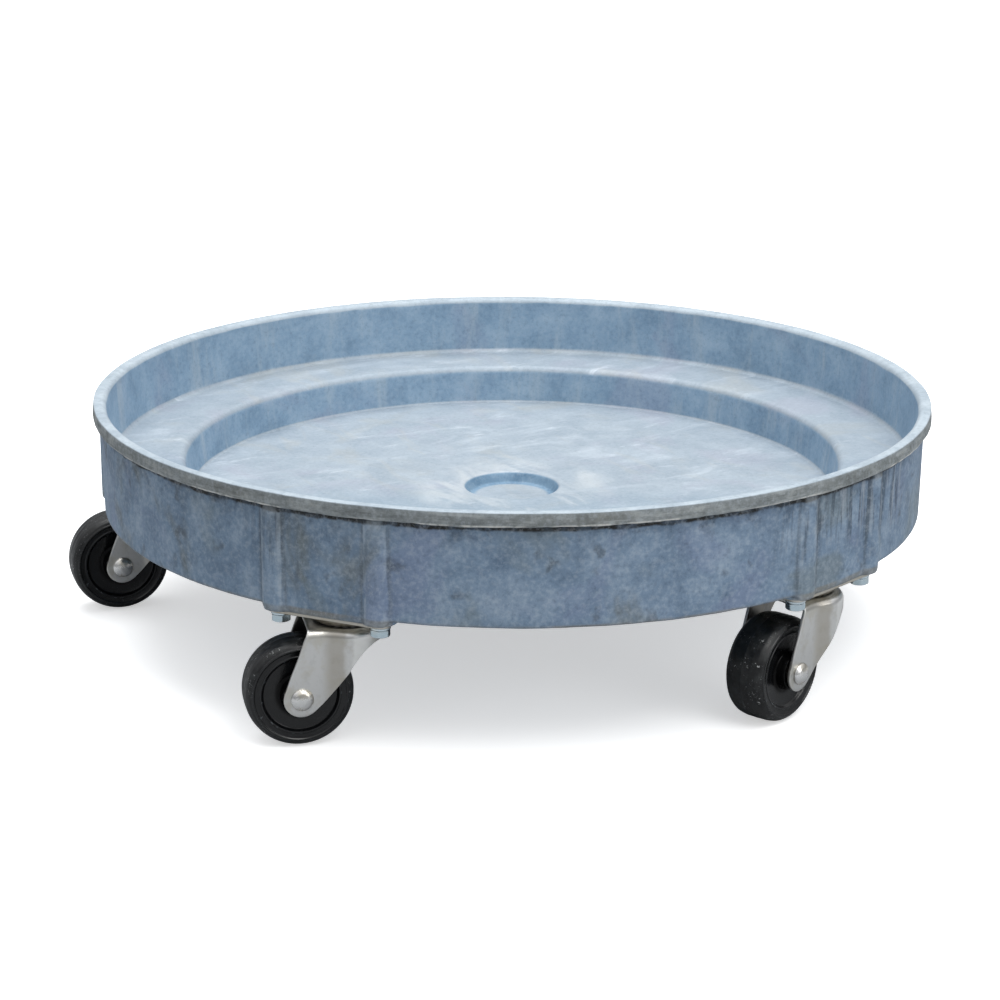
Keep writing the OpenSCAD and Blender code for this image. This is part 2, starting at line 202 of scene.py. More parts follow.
def skin(rings, closed=False):
    """Joins rings of points with quads; a ring of one point is a pole."""
    verts, rows, faces = [], [], []
    for points in rings:
        rows.append(range(len(verts), len(verts) + len(points)))
        verts += points
    for a, b in list(zip(rows, rows[1:])) + ([(rows[-1], rows[0])] if closed else []):
        n = max(len(a), len(b))
        for i in range(n):
            j = (i + 1) % n
            if len(a) == 1:
                faces.append((a[0], b[j], b[i]))
            elif len(b) == 1:
                faces.append((a[i], a[j], b[0]))
            else:
                faces.append((a[i], a[j], b[j], b[i]))
    return verts, faces


def turned(path, n, closed=False):
    """Revolves (r, z) about Z; a point at r = 0 becomes a pole."""
    return skin([[(0, 0, z)] if r < 1e-6 else ring(r, circle(n), z) for r, z in path], closed)


def tube(r_out, r_in, length, edge):
    """A tube about Z, centred on z = 0, with rounded edges."""
    h = length / 2
    section = [(r_in, 0, 0), (r_in, h, edge), (r_out, h, edge), (r_out, -h, edge),
               (r_in, -h, edge), (r_in, 0, 0)]
    return turned(round_path(section, 4)[:-1], 96, closed=True)


def repeated(shape, matrices):
    """One (verts, faces) holding a copy of the shape at each matrix."""
    points, faces = np.array(shape[0], float), shape[1]
    all_verts, all_faces = [], []
    for matrix in matrices:
        placing = np.array(matrix)
        base = len(all_verts)
        all_verts += list(points @ placing[:3, :3].T + placing[:3, 3] / MM)
        all_faces += [tuple(base + i for i in f) for f in faces]
    return all_verts, all_faces


def assign(piece, body, node):
    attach(piece, body)
    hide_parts(node)


def at_casters(name, model, place, body, node, material):
    """Puts one mesh at each caster; {} in body and node is the caster's number."""
    model.data.materials.append(material)
    for k in CASTERS:
        piece = link(f"{name}_{k}", model.data)
        piece.matrix_world = place(k)
        assign(piece, body.format(k), node.format(k))
    bpy.data.objects.remove(model)


def on_pan(name, shape, node, material):
    """One object, fixed to the pan, that holds every copy of a part."""
    piece = new_object(name, shape)
    piece.data.materials.append(material)
    assign(piece, "pan", node)
    return piece


# ---------------------------------------------------------------- shader helpers
class Graph:
    """The node tree of a material or world. self.point is where textures are sampled."""

    def __init__(self, owner, output="OutputMaterial"):
        self.owner = owner
        owner.use_nodes = True
        self.tree = owner.node_tree
        self.tree.nodes.clear()
        self.out = self.add(output)
        self.coord = self.add("TexCoord").outputs
        self.point = self.coord["Object"]

    def put(self, socket, value):
        if isinstance(value, bpy.types.NodeSocket):
            self.tree.links.new(value, socket)
        elif socket.type == "RGBA":
            socket.default_value = (*value, 1)
        else:
            socket.default_value = value

    def add(self, kind, inputs={}, **settings):
        """New node; inputs are keyed by socket name or index."""
        node = self.tree.nodes.new("ShaderNode" + kind)
        for key, value in settings.items():
            setattr(node, key, value)
        for key, value in inputs.items():
            self.put(node.inputs[key], value)
        return node

    def finish(self, shader):
        self.put(self.out.inputs[0], shader)
        return self.owner

    def surface(self, colour, roughness, normal, metallic=0.0, specular=0.5):
        return self.finish(self.add("BsdfPrincipled", {
            "Base Color": colour, "Roughness": roughness, "Normal": normal,
            "Metallic": metallic, "Specular IOR Level": specular}).outputs[0])

    def calc(self, operation, a, b=0.0, c=0.0, clamped=False):
        return self.add("Math", {0: a, 1: b, 2: c}, operation=operation,
                        use_clamp=clamped).outputs[0]

    def times(self, first, *rest):
        return self.calc("MULTIPLY", first, self.times(*rest)) if rest else first

    def scaled(self, value, gain, offset):
        return self.calc("MULTIPLY_ADD", value, gain, offset)

    def xyz(self, vector):
        return self.add("SeparateXYZ", {0: vector}).outputs

    def combine(self, x, y, z):
        return self.add("CombineXYZ", {0: x, 1: y, 2: z}).outputs[0]

    def radius(self, x, y):
        return self.add("VectorMath", {0: self.combine(x, y, 0.0)},
                        operation="LENGTH").outputs["Value"]

    def mapping(self, stretch=(1, 1, 1), shift=(0, 0, 0), spin=(0, 0, 0)):
        return self.add("Mapping", {"Vector": self.point, "Scale": stretch,
                                    "Location": shift, "Rotation": spin}).outputs[0]

    def noise(self, scale, detail=4.0, rough=0.55, warp=0.0, **placing):
        return self.add("TexNoise", {
            "Vector": self.mapping(**placing) if placing else self.point,
            "Scale": scale, "Detail": detail, "Roughness": rough,
            "Distortion": warp}).outputs[0]

    def ramp(self, fac, stops):
        """Colour ramp through (position, colour) stops."""
        node = self.add("ValToRGB", {0: fac})
        elements = node.color_ramp.elements
        while len(elements) < len(stops):
            elements.new(0.5)
        for element, (position, colour) in zip(elements, stops):
            element.position = position
            element.color = (*colour, 1)
        return node.outputs[0]

    def band(self, value, start, end, low=0.0, high=1.0):
        """value from start to end becomes low to high, smoothly, and is held outside."""
        return self.add("MapRange", {
            "Value": value, "From Min": start, "From Max": end,
            "To Min": low, "To Max": high}, interpolation_type="SMOOTHSTEP").outputs[0]

    def mix(self, fac, a, b):
        return self.add("Mix", {0: fac, 6: a, 7: b}, data_type="RGBA").outputs[2]

    def mix_shader(self, fac, a, b):
        return self.add("MixShader", {0: fac, 1: a, 2: b}).outputs[0]

    def bump(self, height, strength, distance, normal=None):
        inputs = {"Strength": strength, "Distance": distance, "Height": height}
        if normal is not None:
            inputs["Normal"] = normal
        return self.add("Bump", inputs).outputs[0]


def new_graph(name):
    return Graph(bpy.data.materials.new(name))


# ---------------------------------------------------------------- cast aluminium
def skirt_colour(mat, mid, hue):
    """Slate blue, drifting to lavender, to grey and to olive, with dark spots; darker than the
    inside walls, partly grime and partly painted shade.
    """
    mix, band, noise = mat.mix, mat.band, mat.noise
    col = mat.ramp(mid, [(0.28, (0.108, 0.166, 0.248)), (0.5, (0.186, 0.268, 0.374)),
                         (0.72, (0.296, 0.378, 0.478))])
    col = mix(band(hue, 0.52, 0.66, high=0.45), col, (0.205, 0.250, 0.385))
    col = mix(band(hue, 0.46, 0.34, high=0.62), col, (0.178, 0.222, 0.244))
    olive = noise(15, detail=5, rough=0.6, warp=0.5, shift=(7, 2, 5), stretch=(1, 1, 0.7))
    col = mix(band(olive, 0.56, 0.70, high=0.60), col, (0.150, 0.162, 0.150))
    spots = noise(44, detail=3, rough=0.5, warp=0.3, shift=(2, 8, 3))
    return mix(mat.times(band(spots, 0.63, 0.72), 0.55), col, (0.082, 0.100, 0.122))


def wall_colour(mat, mid, hue):
    """The inside walls: a clearer blue."""
    col = mat.ramp(mid, [(0.26, (0.170, 0.270, 0.378)), (0.5, (0.236, 0.352, 0.474)),
                         (0.74, (0.330, 0.445, 0.555))])
    return mat.mix(mat.band(hue, 0.55, 0.68, high=0.45), col, (0.268, 0.326, 0.438))


def floor_colour(mat, x, y, radius, mid, hue):
    """Pale blue, with white sweeps and faint violet and beige clouds."""
    mix, band, noise, times = mat.mix, mat.band, mat.noise, mat.times
    col = mat.ramp(mid, [(0.25, (0.268, 0.326, 0.382)), (0.5, (0.318, 0.376, 0.432)),
                         (0.75, (0.378, 0.436, 0.488))])
    col = mix(band(hue, 0.52, 0.68, high=0.50), col, (0.345, 0.366, 0.436))
    col = mix(band(hue, 0.46, 0.32, high=0.50), col, (0.360, 0.386, 0.392))
    sweep = noise(9.0, detail=7, rough=0.62, warp=1.6,
                  stretch=(1.0, 2.1, 1.0), spin=(0, 0, 0.62))
    cloud = noise(12.0, detail=6, rough=0.6, warp=1.1,
                  stretch=(2.6, 0.9, 1.0), spin=(0, 0, -0.5), shift=(1.2, 4.0, 0))
    streak = noise(26.0, detail=5, rough=0.62, warp=0.8,
                   stretch=(1.0, 5.5, 1.0), spin=(0, 0, 0.35), shift=(0.7, 0.2, 0))
    col = mix(band(sweep, 0.50, 0.70, high=0.62), col, (0.462, 0.520, 0.575))
    col = mix(band(cloud, 0.56, 0.72, high=0.34), col, (0.420, 0.430, 0.415))
    white = times(band(streak, 0.56, 0.70), band(sweep, 0.44, 0.60), 0.55)
    col = mix(white, col, (0.600, 0.650, 0.700))
    # a little darker and bluer towards the camera's side
    front = mat.scaled(x, -0.5, times(y, -0.866))
    shade = band(mat.scaled(cloud, 0.07, front), 0.030, 0.095, high=0.50)
    col = mix(shade, col, (0.222, 0.302, 0.376))
    # pale scum round the sump
    ragged = mat.calc("ADD", radius, mat.scaled(sweep, 0.09, -0.045))
    scum = times(band(ragged, 0.085, 0.048), band(radius, 0.030, 0.037))
    return mix(times(scum, band(cloud, 0.40, 0.60), 0.6), col, (0.520, 0.555, 0.575))


def skirt_stains(mat, col, z, azimuth, outside):
    """Dirt and pale runs under the lip, dark patches under the lip that are partly stain and
    partly painted shadow, then painted shade and painted highlight lines along the bosses:
    (colour, dirt_and_shade).
    """
    mix, band, noise, times = mat.mix, mat.band, mat.noise, mat.times
    calc, scaled = mat.calc, mat.scaled
    rim = RIM_Z * MM

    def near_caster(k, amount):
        off = calc("ABSOLUTE", calc("SUBTRACT", azimuth, wrapped(kingpin_angle[k])))
        return band(off, 0.36, 0.12, high=amount)

    run = noise(130, rough=0.62, warp=0.2, stretch=(1, 1, 0.07))
    below = band(scaled(calc("SUBTRACT", run, 0.5), 0.12, z), rim - 0.062, rim - 0.030)
    where = noise(7.5, detail=2, rough=0.5, stretch=(1, 1, 0.25), shift=(2.4, 9.1, 0))
    # the worst of the runs stand by casters 4 and 5
    worst = calc("ADD", near_caster(4, 0.05), near_caster(5, 0.42))
    runs = times(band(scaled(worst, 0.16, run), 0.51, 0.60),
                 band(calc("ADD", where, worst), 0.58, 0.72), below, outside)
    # dark patches just under the lip: partly stain, partly painted shadow of the lip
    stain_and_shadow_patch = times(band(noise(60, detail=5, rough=0.7), 0.47, 0.66),
                  band(z, rim - 0.034, rim - 0.010), outside)
    dirt_and_shade = calc("MAXIMUM", times(runs, 0.74, band(where, 0.36, 0.60)), times(stain_and_shadow_patch, 0.74))
    col = mix(times(dirt_and_shade, 0.9), col, (0.054, 0.074, 0.100))
    pale = noise(150, detail=3, rough=0.6, stretch=(1, 1, 0.06), shift=(3, 1, 8))
    pale = times(band(scaled(worst, 0.10, pale), 0.59, 0.68),
                 band(calc("ADD", where, worst), 0.60, 0.72), below, outside)
    col = mix(times(pale, 0.55), col, (0.42, 0.47, 0.53))

    # painted shade in the creases along both sides of each boss, and a painted highlight on its
    # rounded top
    boss_side_shades, boss_top_highlights = [], []
    for angle in boss_angles:
        off = calc("SUBTRACT", azimuth, wrapped(angle))
        # mm past 8.6 mm from the boss's middle, measured along the skirt
        off = calc("SUBTRACT", calc("ABSOLUTE", times(off, SKIRT_TOP_R)), 8.6)
        boss_side_shades.append(times(band(off, -1.1, -0.1), band(off, 1.6, 0.3)))
        boss_top_highlights.append(times(band(off, -3.4, -1.9), band(off, 0.0, -1.1)))
    boss_side_shade, boss_top_highlight = (reduce(lambda a, b: calc("MAXIMUM", a, b), lines)
                        for lines in (boss_side_shades, boss_top_highlights))
    rag = band(noise(120, rough=0.6, stretch=(1, 1, 0.3)), 0.36, 0.60)
    span = times(outside, band(z, LIP_Z * MM, (LIP_Z - 2) * MM))
    col = mix(times(boss_side_shade, rag, span, 0.50), col, (0.080, 0.098, 0.118))
    return mix(times(boss_top_highlight, rag, span, 0.42), col, (0.40, 0.46, 0.52)), dirt_and_shade


def edge_lines(mat, col, z, radius, outside, upright):
    """The painted shadow line right under the lip and the brownish painted shadow line along the
    skirt's foot.
    """
    band, noise, times = mat.band, mat.noise, mat.times
    rim = RIM_Z * MM
    ragged = mat.calc("SUBTRACT", noise(48, detail=5, rough=0.65, stretch=(1, 1, 0.2)), 0.5)
    ragged = mat.scaled(ragged, 0.0055, z)
    # painted shadow in the crevice under the lip's overhang, broken up along its length
    under = times(outside, band(ragged, rim - 0.0152, rim - 0.0134),
                  band(z, rim - 0.0096, rim - 0.0102), band(radius, 0.3176, 0.3164))
    broken = band(noise(70, rough=0.6), 0.36, 0.56, low=0.55)
    col = mat.mix(times(under, broken), col, (0.022, 0.022, 0.020))
    # brownish painted shadow line along the skirt's foot, above the plates
    foot = times(outside, upright, band(z, (PAD_Z + 6.2) * MM, (PAD_Z + 4.2) * MM),
                 band(noise(26, detail=3), 0.40, 0.60, low=0.2, high=0.75))
    return mat.mix(foot, col, (0.215, 0.208, 0.185))


def lip_layers(mat, col, z, radius, normal_z, upright, mid):
    """The lip: a warmer grey side, a lighter level top and a bright lower corner."""
    mix, band, noise, times = mat.mix, mat.band, mat.noise, mat.times
    rim = RIM_Z * MM
    lip = times(band(radius, 0.3138, 0.3152), band(z, rim - 0.0118, rim - 0.0098))
    side = mat.ramp(noise(46, detail=6, rough=0.7, stretch=(1, 1, 2.2)),
                    [(0.3, (0.120, 0.130, 0.126)), (0.5, (0.222, 0.240, 0.238)),
                     (0.72, (0.370, 0.388, 0.378))])
    brown = noise(12, detail=3, rough=0.5, shift=(4, 4, 4))
    side = mix(band(brown, 0.50, 0.66, high=0.5), side, (0.165, 0.160, 0.138))
    scrape = noise(60, detail=5, rough=0.68, stretch=(0.35, 0.35, 4.0), shift=(1, 2, 3))
    side = mix(band(scrape, 0.53, 0.67, high=0.60), side, (0.405, 0.425, 0.418))
    side = mix(band(scrape, 0.46, 0.34, high=0.55), side, (0.082, 0.090, 0.086))
    col = mix(times(lip, upright, 0.92), col, side)
    top = times(band(radius, 0.3066, 0.3082), band(z, rim - 0.0056, rim - 0.0034),
                band(normal_z, 0.08, 0.36))
    top_colour = mix(band(mid, 0.4, 0.6), (0.36, 0.425, 0.480), (0.45, 0.515, 0.565))
    col = mix(times(top, 0.85), col, top_colour)
    corner = times(band(radius, 0.3165, 0.3176), band(z, rim - 0.0120, rim - 0.0112),
                   band(z, rim - 0.0084, rim - 0.0093))
    broken = (band(noise(16, detail=3), 0.45, 0.58), band(noise(150, detail=3), 0.34, 0.52))
    return mix(times(corner, *broken), col, (0.62, 0.62, 0.59))


def cast_aluminium():
    mat = new_graph("cast_aluminium_weathered")
    mix, band, noise = mat.mix, mat.band, mat.noise
    times, calc, scaled = mat.times, mat.calc, mat.scaled
    x, y, z = mat.xyz(mat.point)
    radius = mat.radius(x, y)
    geometry = mat.add("NewGeometry").outputs
    normal_z = mat.xyz(geometry["Normal"])[2]
    flat = band(normal_z, 0.18, 0.56)
    upright = calc("SUBTRACT", 1.0, flat)
    outside = band(radius, 0.3085, 0.3110)
    in_wall = times(upright, calc("SUBTRACT", 1.0, outside))
    hue = noise(13, warp=0.7, shift=(9.3, 2.2, 4.1))
    mid = noise(34, detail=6, rough=0.65, warp=0.3, shift=(3.1, 1.7, 0.4))

    col = mix(outside, wall_colour(mat, mid, hue), skirt_colour(mat, mid, hue))
    pale_run = noise(46, detail=5, rough=0.65, stretch=(1, 1, 0.14), shift=(5, 5, 5))
    pale_run = times(band(pale_run, 0.50, 0.72), in_wall)
    col = mix(times(pale_run, 0.50), col, (0.43, 0.495, 0.54))
    col = mix(flat, col, floor_colour(mat, x, y, radius, mid, hue))
    # the small sump's wall reads as blue as the other walls
    well = times(band(radius, 0.0392, 0.0368), band(radius, 0.0262, 0.0306),
                 band(z, (FLOOR_Z - 0.3) * MM, (FLOOR_Z - 1.5) * MM))
    well_colour = mix(band(mid, 0.40, 0.62), (0.118, 0.215, 0.318), (0.190, 0.300, 0.410))
    col = mix(well, col, well_colour)
    col, dirt_and_shade = skirt_stains(mat, col, z, calc("ARCTAN2", y, x), outside)
    col = edge_lines(mat, col, z, radius, outside, upright)
    col = lip_layers(mat, col, z, radius, normal_z, upright, mid)

    # worn edges, and painted shade with some grime in the hollows, from the mesh's own curvature
    curve = geometry["Pointiness"]
    worn = times(band(curve, 0.507, 0.535), scaled(outside, 0.30, 0.06))
    col = mix(worn, col, (0.48, 0.535, 0.58))
    hollow_shade_and_grime = band(curve, 0.470, 0.496, low=1.0, high=0.0)
    hollow_shade_and_grime = times(hollow_shade_and_grime, scaled(outside, 0.34, 0.26), upright)
    col = mix(hollow_shade_and_grime, col, (0.090, 0.112, 0.135))
    # sand grain, fine mottling and a few pale nicks on the floors
    grain = noise(270, rough=0.7, shift=(1.1, 6.7, 2.4))
    light = times(band(grain, 0.47, 0.64), scaled(outside, 0.16, 0.26))
    col = mix(light, col, mix(0.5, col, (0.50, 0.56, 0.62)))
    dark = times(band(grain, 0.47, 0.32), scaled(flat, -0.16, scaled(outside, 0.14, 0.30)))
    col = mix(dark, col, mix(0.5, col, (0.035, 0.045, 0.060)))
    mottle = noise(520, detail=3, rough=0.6)
    col = mix(band(mottle, 0.45, 0.28, high=0.16), col, (0.060, 0.080, 0.105))
    cells = mat.add("TexVoronoi", {"Vector": mat.point, "Scale": 62}).outputs["Distance"]
    nick = times(band(cells, 0.060, 0.040), band(noise(21, detail=2), 0.57, 0.63),
                 scaled(flat, 0.9, 0.1))
    col = mix(times(nick, 0.22), col, (0.60, 0.64, 0.68))

    rough = calc("ADD", scaled(mid, 0.24, 0.50), times(dirt_and_shade, 0.2), clamped=True)
    normal = mat.bump(noise(22, rough=0.5), strength=0.30, distance=0.0022)
    normal = mat.bump(noise(130, rough=0.6), 0.32, 0.0007, normal)
    normal = mat.bump(noise(900, detail=3, rough=0.65), 0.26, 0.00022, normal)
    normal = mat.bump(nick, -0.4, 0.0003, normal)
    return mat.surface(col, rough, normal, metallic=0.22, specular=0.40)


# ---------------------------------------------------------------- other materials
def fork_stains(mat, col, cloud):
    """Painted reflections, as a warm upright band and a pale one behind the axle, and painted
    shade on the inner faces.
    """
    band, times = mat.band, mat.times
    x, y, z = mat.xyz(mat.point)
    _, normal_y, normal_z = mat.xyz(mat.coord["Normal"])
    # a warm darker band and a pale band behind the axle: painted reflections on the fork's
    # curved back
    ragged = mat.calc("ADD", x, mat.scaled(cloud, 0.008, -0.004))
    warm = times(band(ragged, 0.0215, 0.0125), band(ragged, 0.0015, 0.0065))
    col = mat.mix(times(warm, 0.55), col, (0.36, 0.325, 0.265))
    pale = times(band(ragged, 0.001, -0.003), band(ragged, -0.017, -0.010))
    col = mat.mix(times(pale, 0.7), col, (0.84, 0.84, 0.82))
    # painted shade on the faces inside the fork and under the crown
    inward = band(times(y, normal_y), -0.004, -0.014)
    beneath = times(band(normal_z, -0.3, -0.7),
                    band(z, (CROWN_Z - 14) * MM, (CROWN_Z - 9) * MM))
    inner = times(mat.calc("MAXIMUM", inward, beneath), 0.78)
    return mat.mix(inner, col, (0.070, 0.062, 0.048))


def plated(name, base, tint, rough, painted_light_marks=None, brush=(1, 1, 1), line_scale=1500):
    """Bare or plated steel: brushed lines, cloudy tint, lightened edges, painted shade in the
    creases, small scratches.
    """
    mat = new_graph(name)
    mix, band, noise = mat.mix, mat.band, mat.noise
    cloud = noise(75, rough=0.6, warp=0.4)
    fine_cloud = noise(210, detail=3, rough=0.6, shift=(4, 2, 7))
    col = mix(band(cloud, 0.44, 0.66), base, tint)
    col = mix(band(fine_cloud, 0.5, 0.7, high=0.25), col, tuple(c * 0.72 for c in base))
    curve = mat.add("NewGeometry").outputs["Pointiness"]
    # the sharpest edges are lightened; the creases get painted shade
    col = mix(band(curve, 0.512, 0.56, high=0.5), col, (0.93, 0.93, 0.92))
    col = mix(band(curve, 0.44, 0.49, low=0.55, high=0.0), col, tuple(c * 0.45 for c in base))
    # extra marks of painted light, such as the fork's painted reflections and shade
    if painted_light_marks:
        col = painted_light_marks(mat, col, cloud)
    lines = noise(line_scale, detail=3, rough=0.6, stretch=brush)
    roughness = mat.calc("ADD", mat.scaled(cloud, 0.16, rough - 0.08), mat.times(lines, 0.06))
    normal = mat.bump(noise(95, detail=2, rough=0.4), strength=0.10, distance=0.0006)
    normal = mat.bump(lines, 0.10, 0.00005, normal)
    scratch = noise(2600, detail=2, rough=0.5, stretch=(0.12, 0.5, 1), spin=(0.3, 0.5, 0.7))
    normal = mat.bump(band(scratch, 0.64, 0.70), -0.06, 0.00004, normal)
    return mat.surface(col, roughness, normal, metallic=1.0)


def black_rubber():
    """Near-black wheel: dusty, speckled tread, faint turned rings on the sides, painted
    highlights on the ridges and painted shade in the wheel's middle round the bore.
    """
    mat = new_graph("wheel_hard_rubber")
    mix, band, noise = mat.mix, mat.band, mat.noise
    times, scaled = mat.times, mat.scaled
    x, y, _ = mat.xyz(mat.point)
    radius = mat.radius(x, y)
    # each wheel samples its textures at its own place
    chance = mat.add("ObjectInfo").outputs["Random"]
    offset = mat.combine(chance, times(chance, 3.7), 0.0)
    mat.point = mat.add("VectorMath", {0: mat.point, 1: offset}, operation="ADD").outputs[0]
    tread = band(radius, 0.0325, 0.0352)
    cloud = noise(60, detail=5, rough=0.65, warp=0.4)
    col = mat.ramp(cloud, [(0.3, (0.0032, 0.0034, 0.0040)), (0.55, (0.0050, 0.0054, 0.0062)),
                           (0.8, (0.0100, 0.0112, 0.0124))])
    dust = times(tread, band(noise(130, detail=5, rough=0.7), 0.42, 0.68))
    col = mix(times(dust, 0.24), col, (0.062, 0.070, 0.070))
    spots = times(band(noise(620, rough=0.75, warp=0.8), 0.605, 0.68),
                  band(noise(90, detail=3), 0.47, 0.58))
    tread_spots = times(spots, tread)
    col = mix(times(tread_spots, 0.85), col, (0.58, 0.60, 0.60))
    specks = times(band(noise(800, detail=3, rough=0.7), 0.66, 0.74), 0.4)
    col = mix(times(specks, scaled(tread, 0.8, 0.2)), col, (0.12, 0.12, 0.125))
    curve = mat.add("NewGeometry").outputs["Pointiness"]
    # painted highlights along the sharper ridges and edges of the rubber
    col = mix(band(curve, 0.508, 0.545, high=0.62), col, (0.088, 0.102, 0.110))
    # painted shade in the dark recess in the wheel's middle round the bore, which also lowers
    # the specular there
    painted_hub_shade = band(radius, 0.0190, 0.0150)
    col = mix(painted_hub_shade, col, (0.0018, 0.0018, 0.0020))
    rough = mat.calc("ADD", scaled(cloud, 0.22, 0.09), times(tread, 0.13))
    rough = mat.calc("ADD", rough, times(mat.calc("ADD", dust, spots), 0.2), clamped=True)
    rings = mat.calc("SINE", times(radius, 5200.0))
    side_rings = times(rings, mat.calc("SUBTRACT", 1.0, tread))
    normal = mat.bump(side_rings, strength=0.10, distance=0.00006)
    normal = mat.bump(noise(260, detail=5, rough=0.65), 0.28, 0.0004, normal)
    normal = mat.bump(tread_spots, -0.35, 0.0003, normal)
    return mat.surface(col, rough, normal, specular=scaled(painted_hub_shade, -0.34, 0.46))


def nylon():
    mat = new_graph("bush_oiled")
    cloud = mat.noise(120, rough=0.6)
    col = mat.ramp(cloud, [(0.3, (0.20, 0.175, 0.135)), (0.7, (0.42, 0.37, 0.29))])
    normal = mat.bump(mat.noise(700, detail=3), strength=0.2, distance=0.0002)
    return mat.surface(col, mat.scaled(cloud, 0.25, 0.30), normal)


def ball_steel():
    mat = new_graph("ball_hardened_steel")
    cloud = mat.noise(500, detail=3, rough=0.6)
    col = mat.mix(mat.band(cloud, 0.45, 0.7), (0.70, 0.70, 0.71), (0.34, 0.30, 0.24))
    normal = mat.bump(mat.noise(1800, detail=2), strength=0.08, distance=0.0001)
    return mat.surface(col, mat.scaled(cloud, 0.22, 0.10), normal, metallic=1.0)


CAST = cast_aluminium()
FORK_ZINC = plated("fork_satin_zinc", base=(0.66, 0.66, 0.65), tint=(0.60, 0.585, 0.54),
                   rough=0.30, painted_light_marks=fork_stains, brush=(1, 1, 0.06))
RACE_ZINC = plated("race_satin_zinc", base=(0.56, 0.56, 0.55), tint=(0.50, 0.485, 0.445),
                   rough=0.33)
PLATE_ZINC = plated("plate_yellowed_zinc", base=(0.52, 0.50, 0.445), tint=(0.45, 0.41, 0.335),
                    rough=0.38, brush=(1, 0.05, 1))
BOLT_ZINC = plated("bolt_bright_zinc", base=(0.52, 0.63, 0.69), tint=(0.60, 0.66, 0.66),
                   rough=0.22, line_scale=900)
# washers darkened as painted shade for the dark recess beside the wheel's middle
WASHER_STEEL = plated("washer_oiled_steel", base=(0.20, 0.195, 0.185), tint=(0.13, 0.115, 0.09),
                      rough=0.42, line_scale=900)
RIVET_STEEL = plated("rivet_bright_steel", base=(0.78, 0.78, 0.775), tint=(0.66, 0.62, 0.54),
                     rough=0.24, line_scale=500)
RUBBER = black_rubber()
BUSH_NYLON = nylon()
BALL_STEEL = ball_steel()


# ---------------------------------------------------------------- pan casting
def fractal(v, scale, octaves=3):
    """Layered noise, divided by the sum of its amplitudes."""
    value, amplitude, total = 0.0, 1.0, 0.0
    for octave in range(octaves):
        value += amplitude * noise.noise(Vector(v) * scale * (2 ** octave))
        total += amplitude
        amplitude *= 0.5
    return value / total


def smooth_max(a, b, blend):
    h = np.clip(0.5 + 0.5 * (a - b) / blend, 0, 1)
    return b * (1 - h) + a * h + blend * h * (1 - h)


def pan_path():
    """The pan's section as (r, z) points, and how many of them are on the upper side."""
    joint = (SKIRT_FOOT_R - 6.2, SKIRT_Z + 14, 0)
    # (r, z, corner radius): skirt, lip, inside wall, shelf, floor, sump
    upper = round_path([
        joint, (SKIRT_FOOT_R - 6.0, SKIRT_Z, 1.6), (SKIRT_FOOT_R, SKIRT_Z, 2.2),
        (SKIRT_TOP_R, LIP_Z + 0.4, 1.2), (LIP_R, LIP_Z, 0.9), (RIM_R + 0.1, RIM_Z, 0.9),
        (308.7, RIM_Z, 4.8), (305.2, SHELF_Z, 4.5), (250.4, SHELF_Z, 6.4),
        (247.2, FLOOR_Z, 2.4), (36.6, FLOOR_Z, 4.0), (32.0, SUMP_Z, 3.2), (0, SUMP_Z, 0)], 7)
    under = round_path([
        (0, SUMP_Z - 6, 0), (37.5, SUMP_Z - 6, 2.5), (43.5, FLOOR_UNDER, 3.0),
        (253.6, FLOOR_UNDER, 3.0), (258.9, SHELF_UNDER, 4.0), (304.2, SHELF_UNDER, 4.0), joint])
    upper = dense(upper, 3.2)
    # both sides share the sump's middle point and the joint
    return upper + dense(under[:-1], 9.0)[1:], len(upper)


def unevenness(outward, r, z, v, pad):
    """How far sand casting shifts a point of the upper side, as (radial, upward)."""
    if outward and z > LIP_Z - 0.1 or z > RIM_Z - 3.5:      # lip
        radial = 0.34 * fractal(v, 46, 2) - 0.10
        if outward and z < LIP_Z + 2.6:
            low = 1 - clamp((z - LIP_Z) / 2.6)
            wobble = 0.5 * fractal((v[0] + 3, v[1], v[2]), 75, 2) - 0.45
            drop = 1.15 * fractal(v, 17) + 0.45 * fractal(v, 120, 2)
            return radial + low * wobble, low * drop
        return radial, 0.30 * fractal(v, 14, 2) - 0.12 if z > RIM_Z - 3 else 0.0
    if outward:                                             # skirt
        foot = 0.5 * fractal(v, 30) * (1 - pad) if z < SKIRT_Z + 2 else 0.0
        return 0.36 * fractal(v, 24), foot
    if r > 300 and z > SHELF_Z + 4:                         # inside wall
        return 0.40 * fractal(v, 18, 2), 0.0
    if z > SHELF_Z - 8:
        return 0.0, 0.42 * fractal(v, 16)
    return 0.0, min(1.0, r / 8.0) * 0.50 * fractal(v, 13)


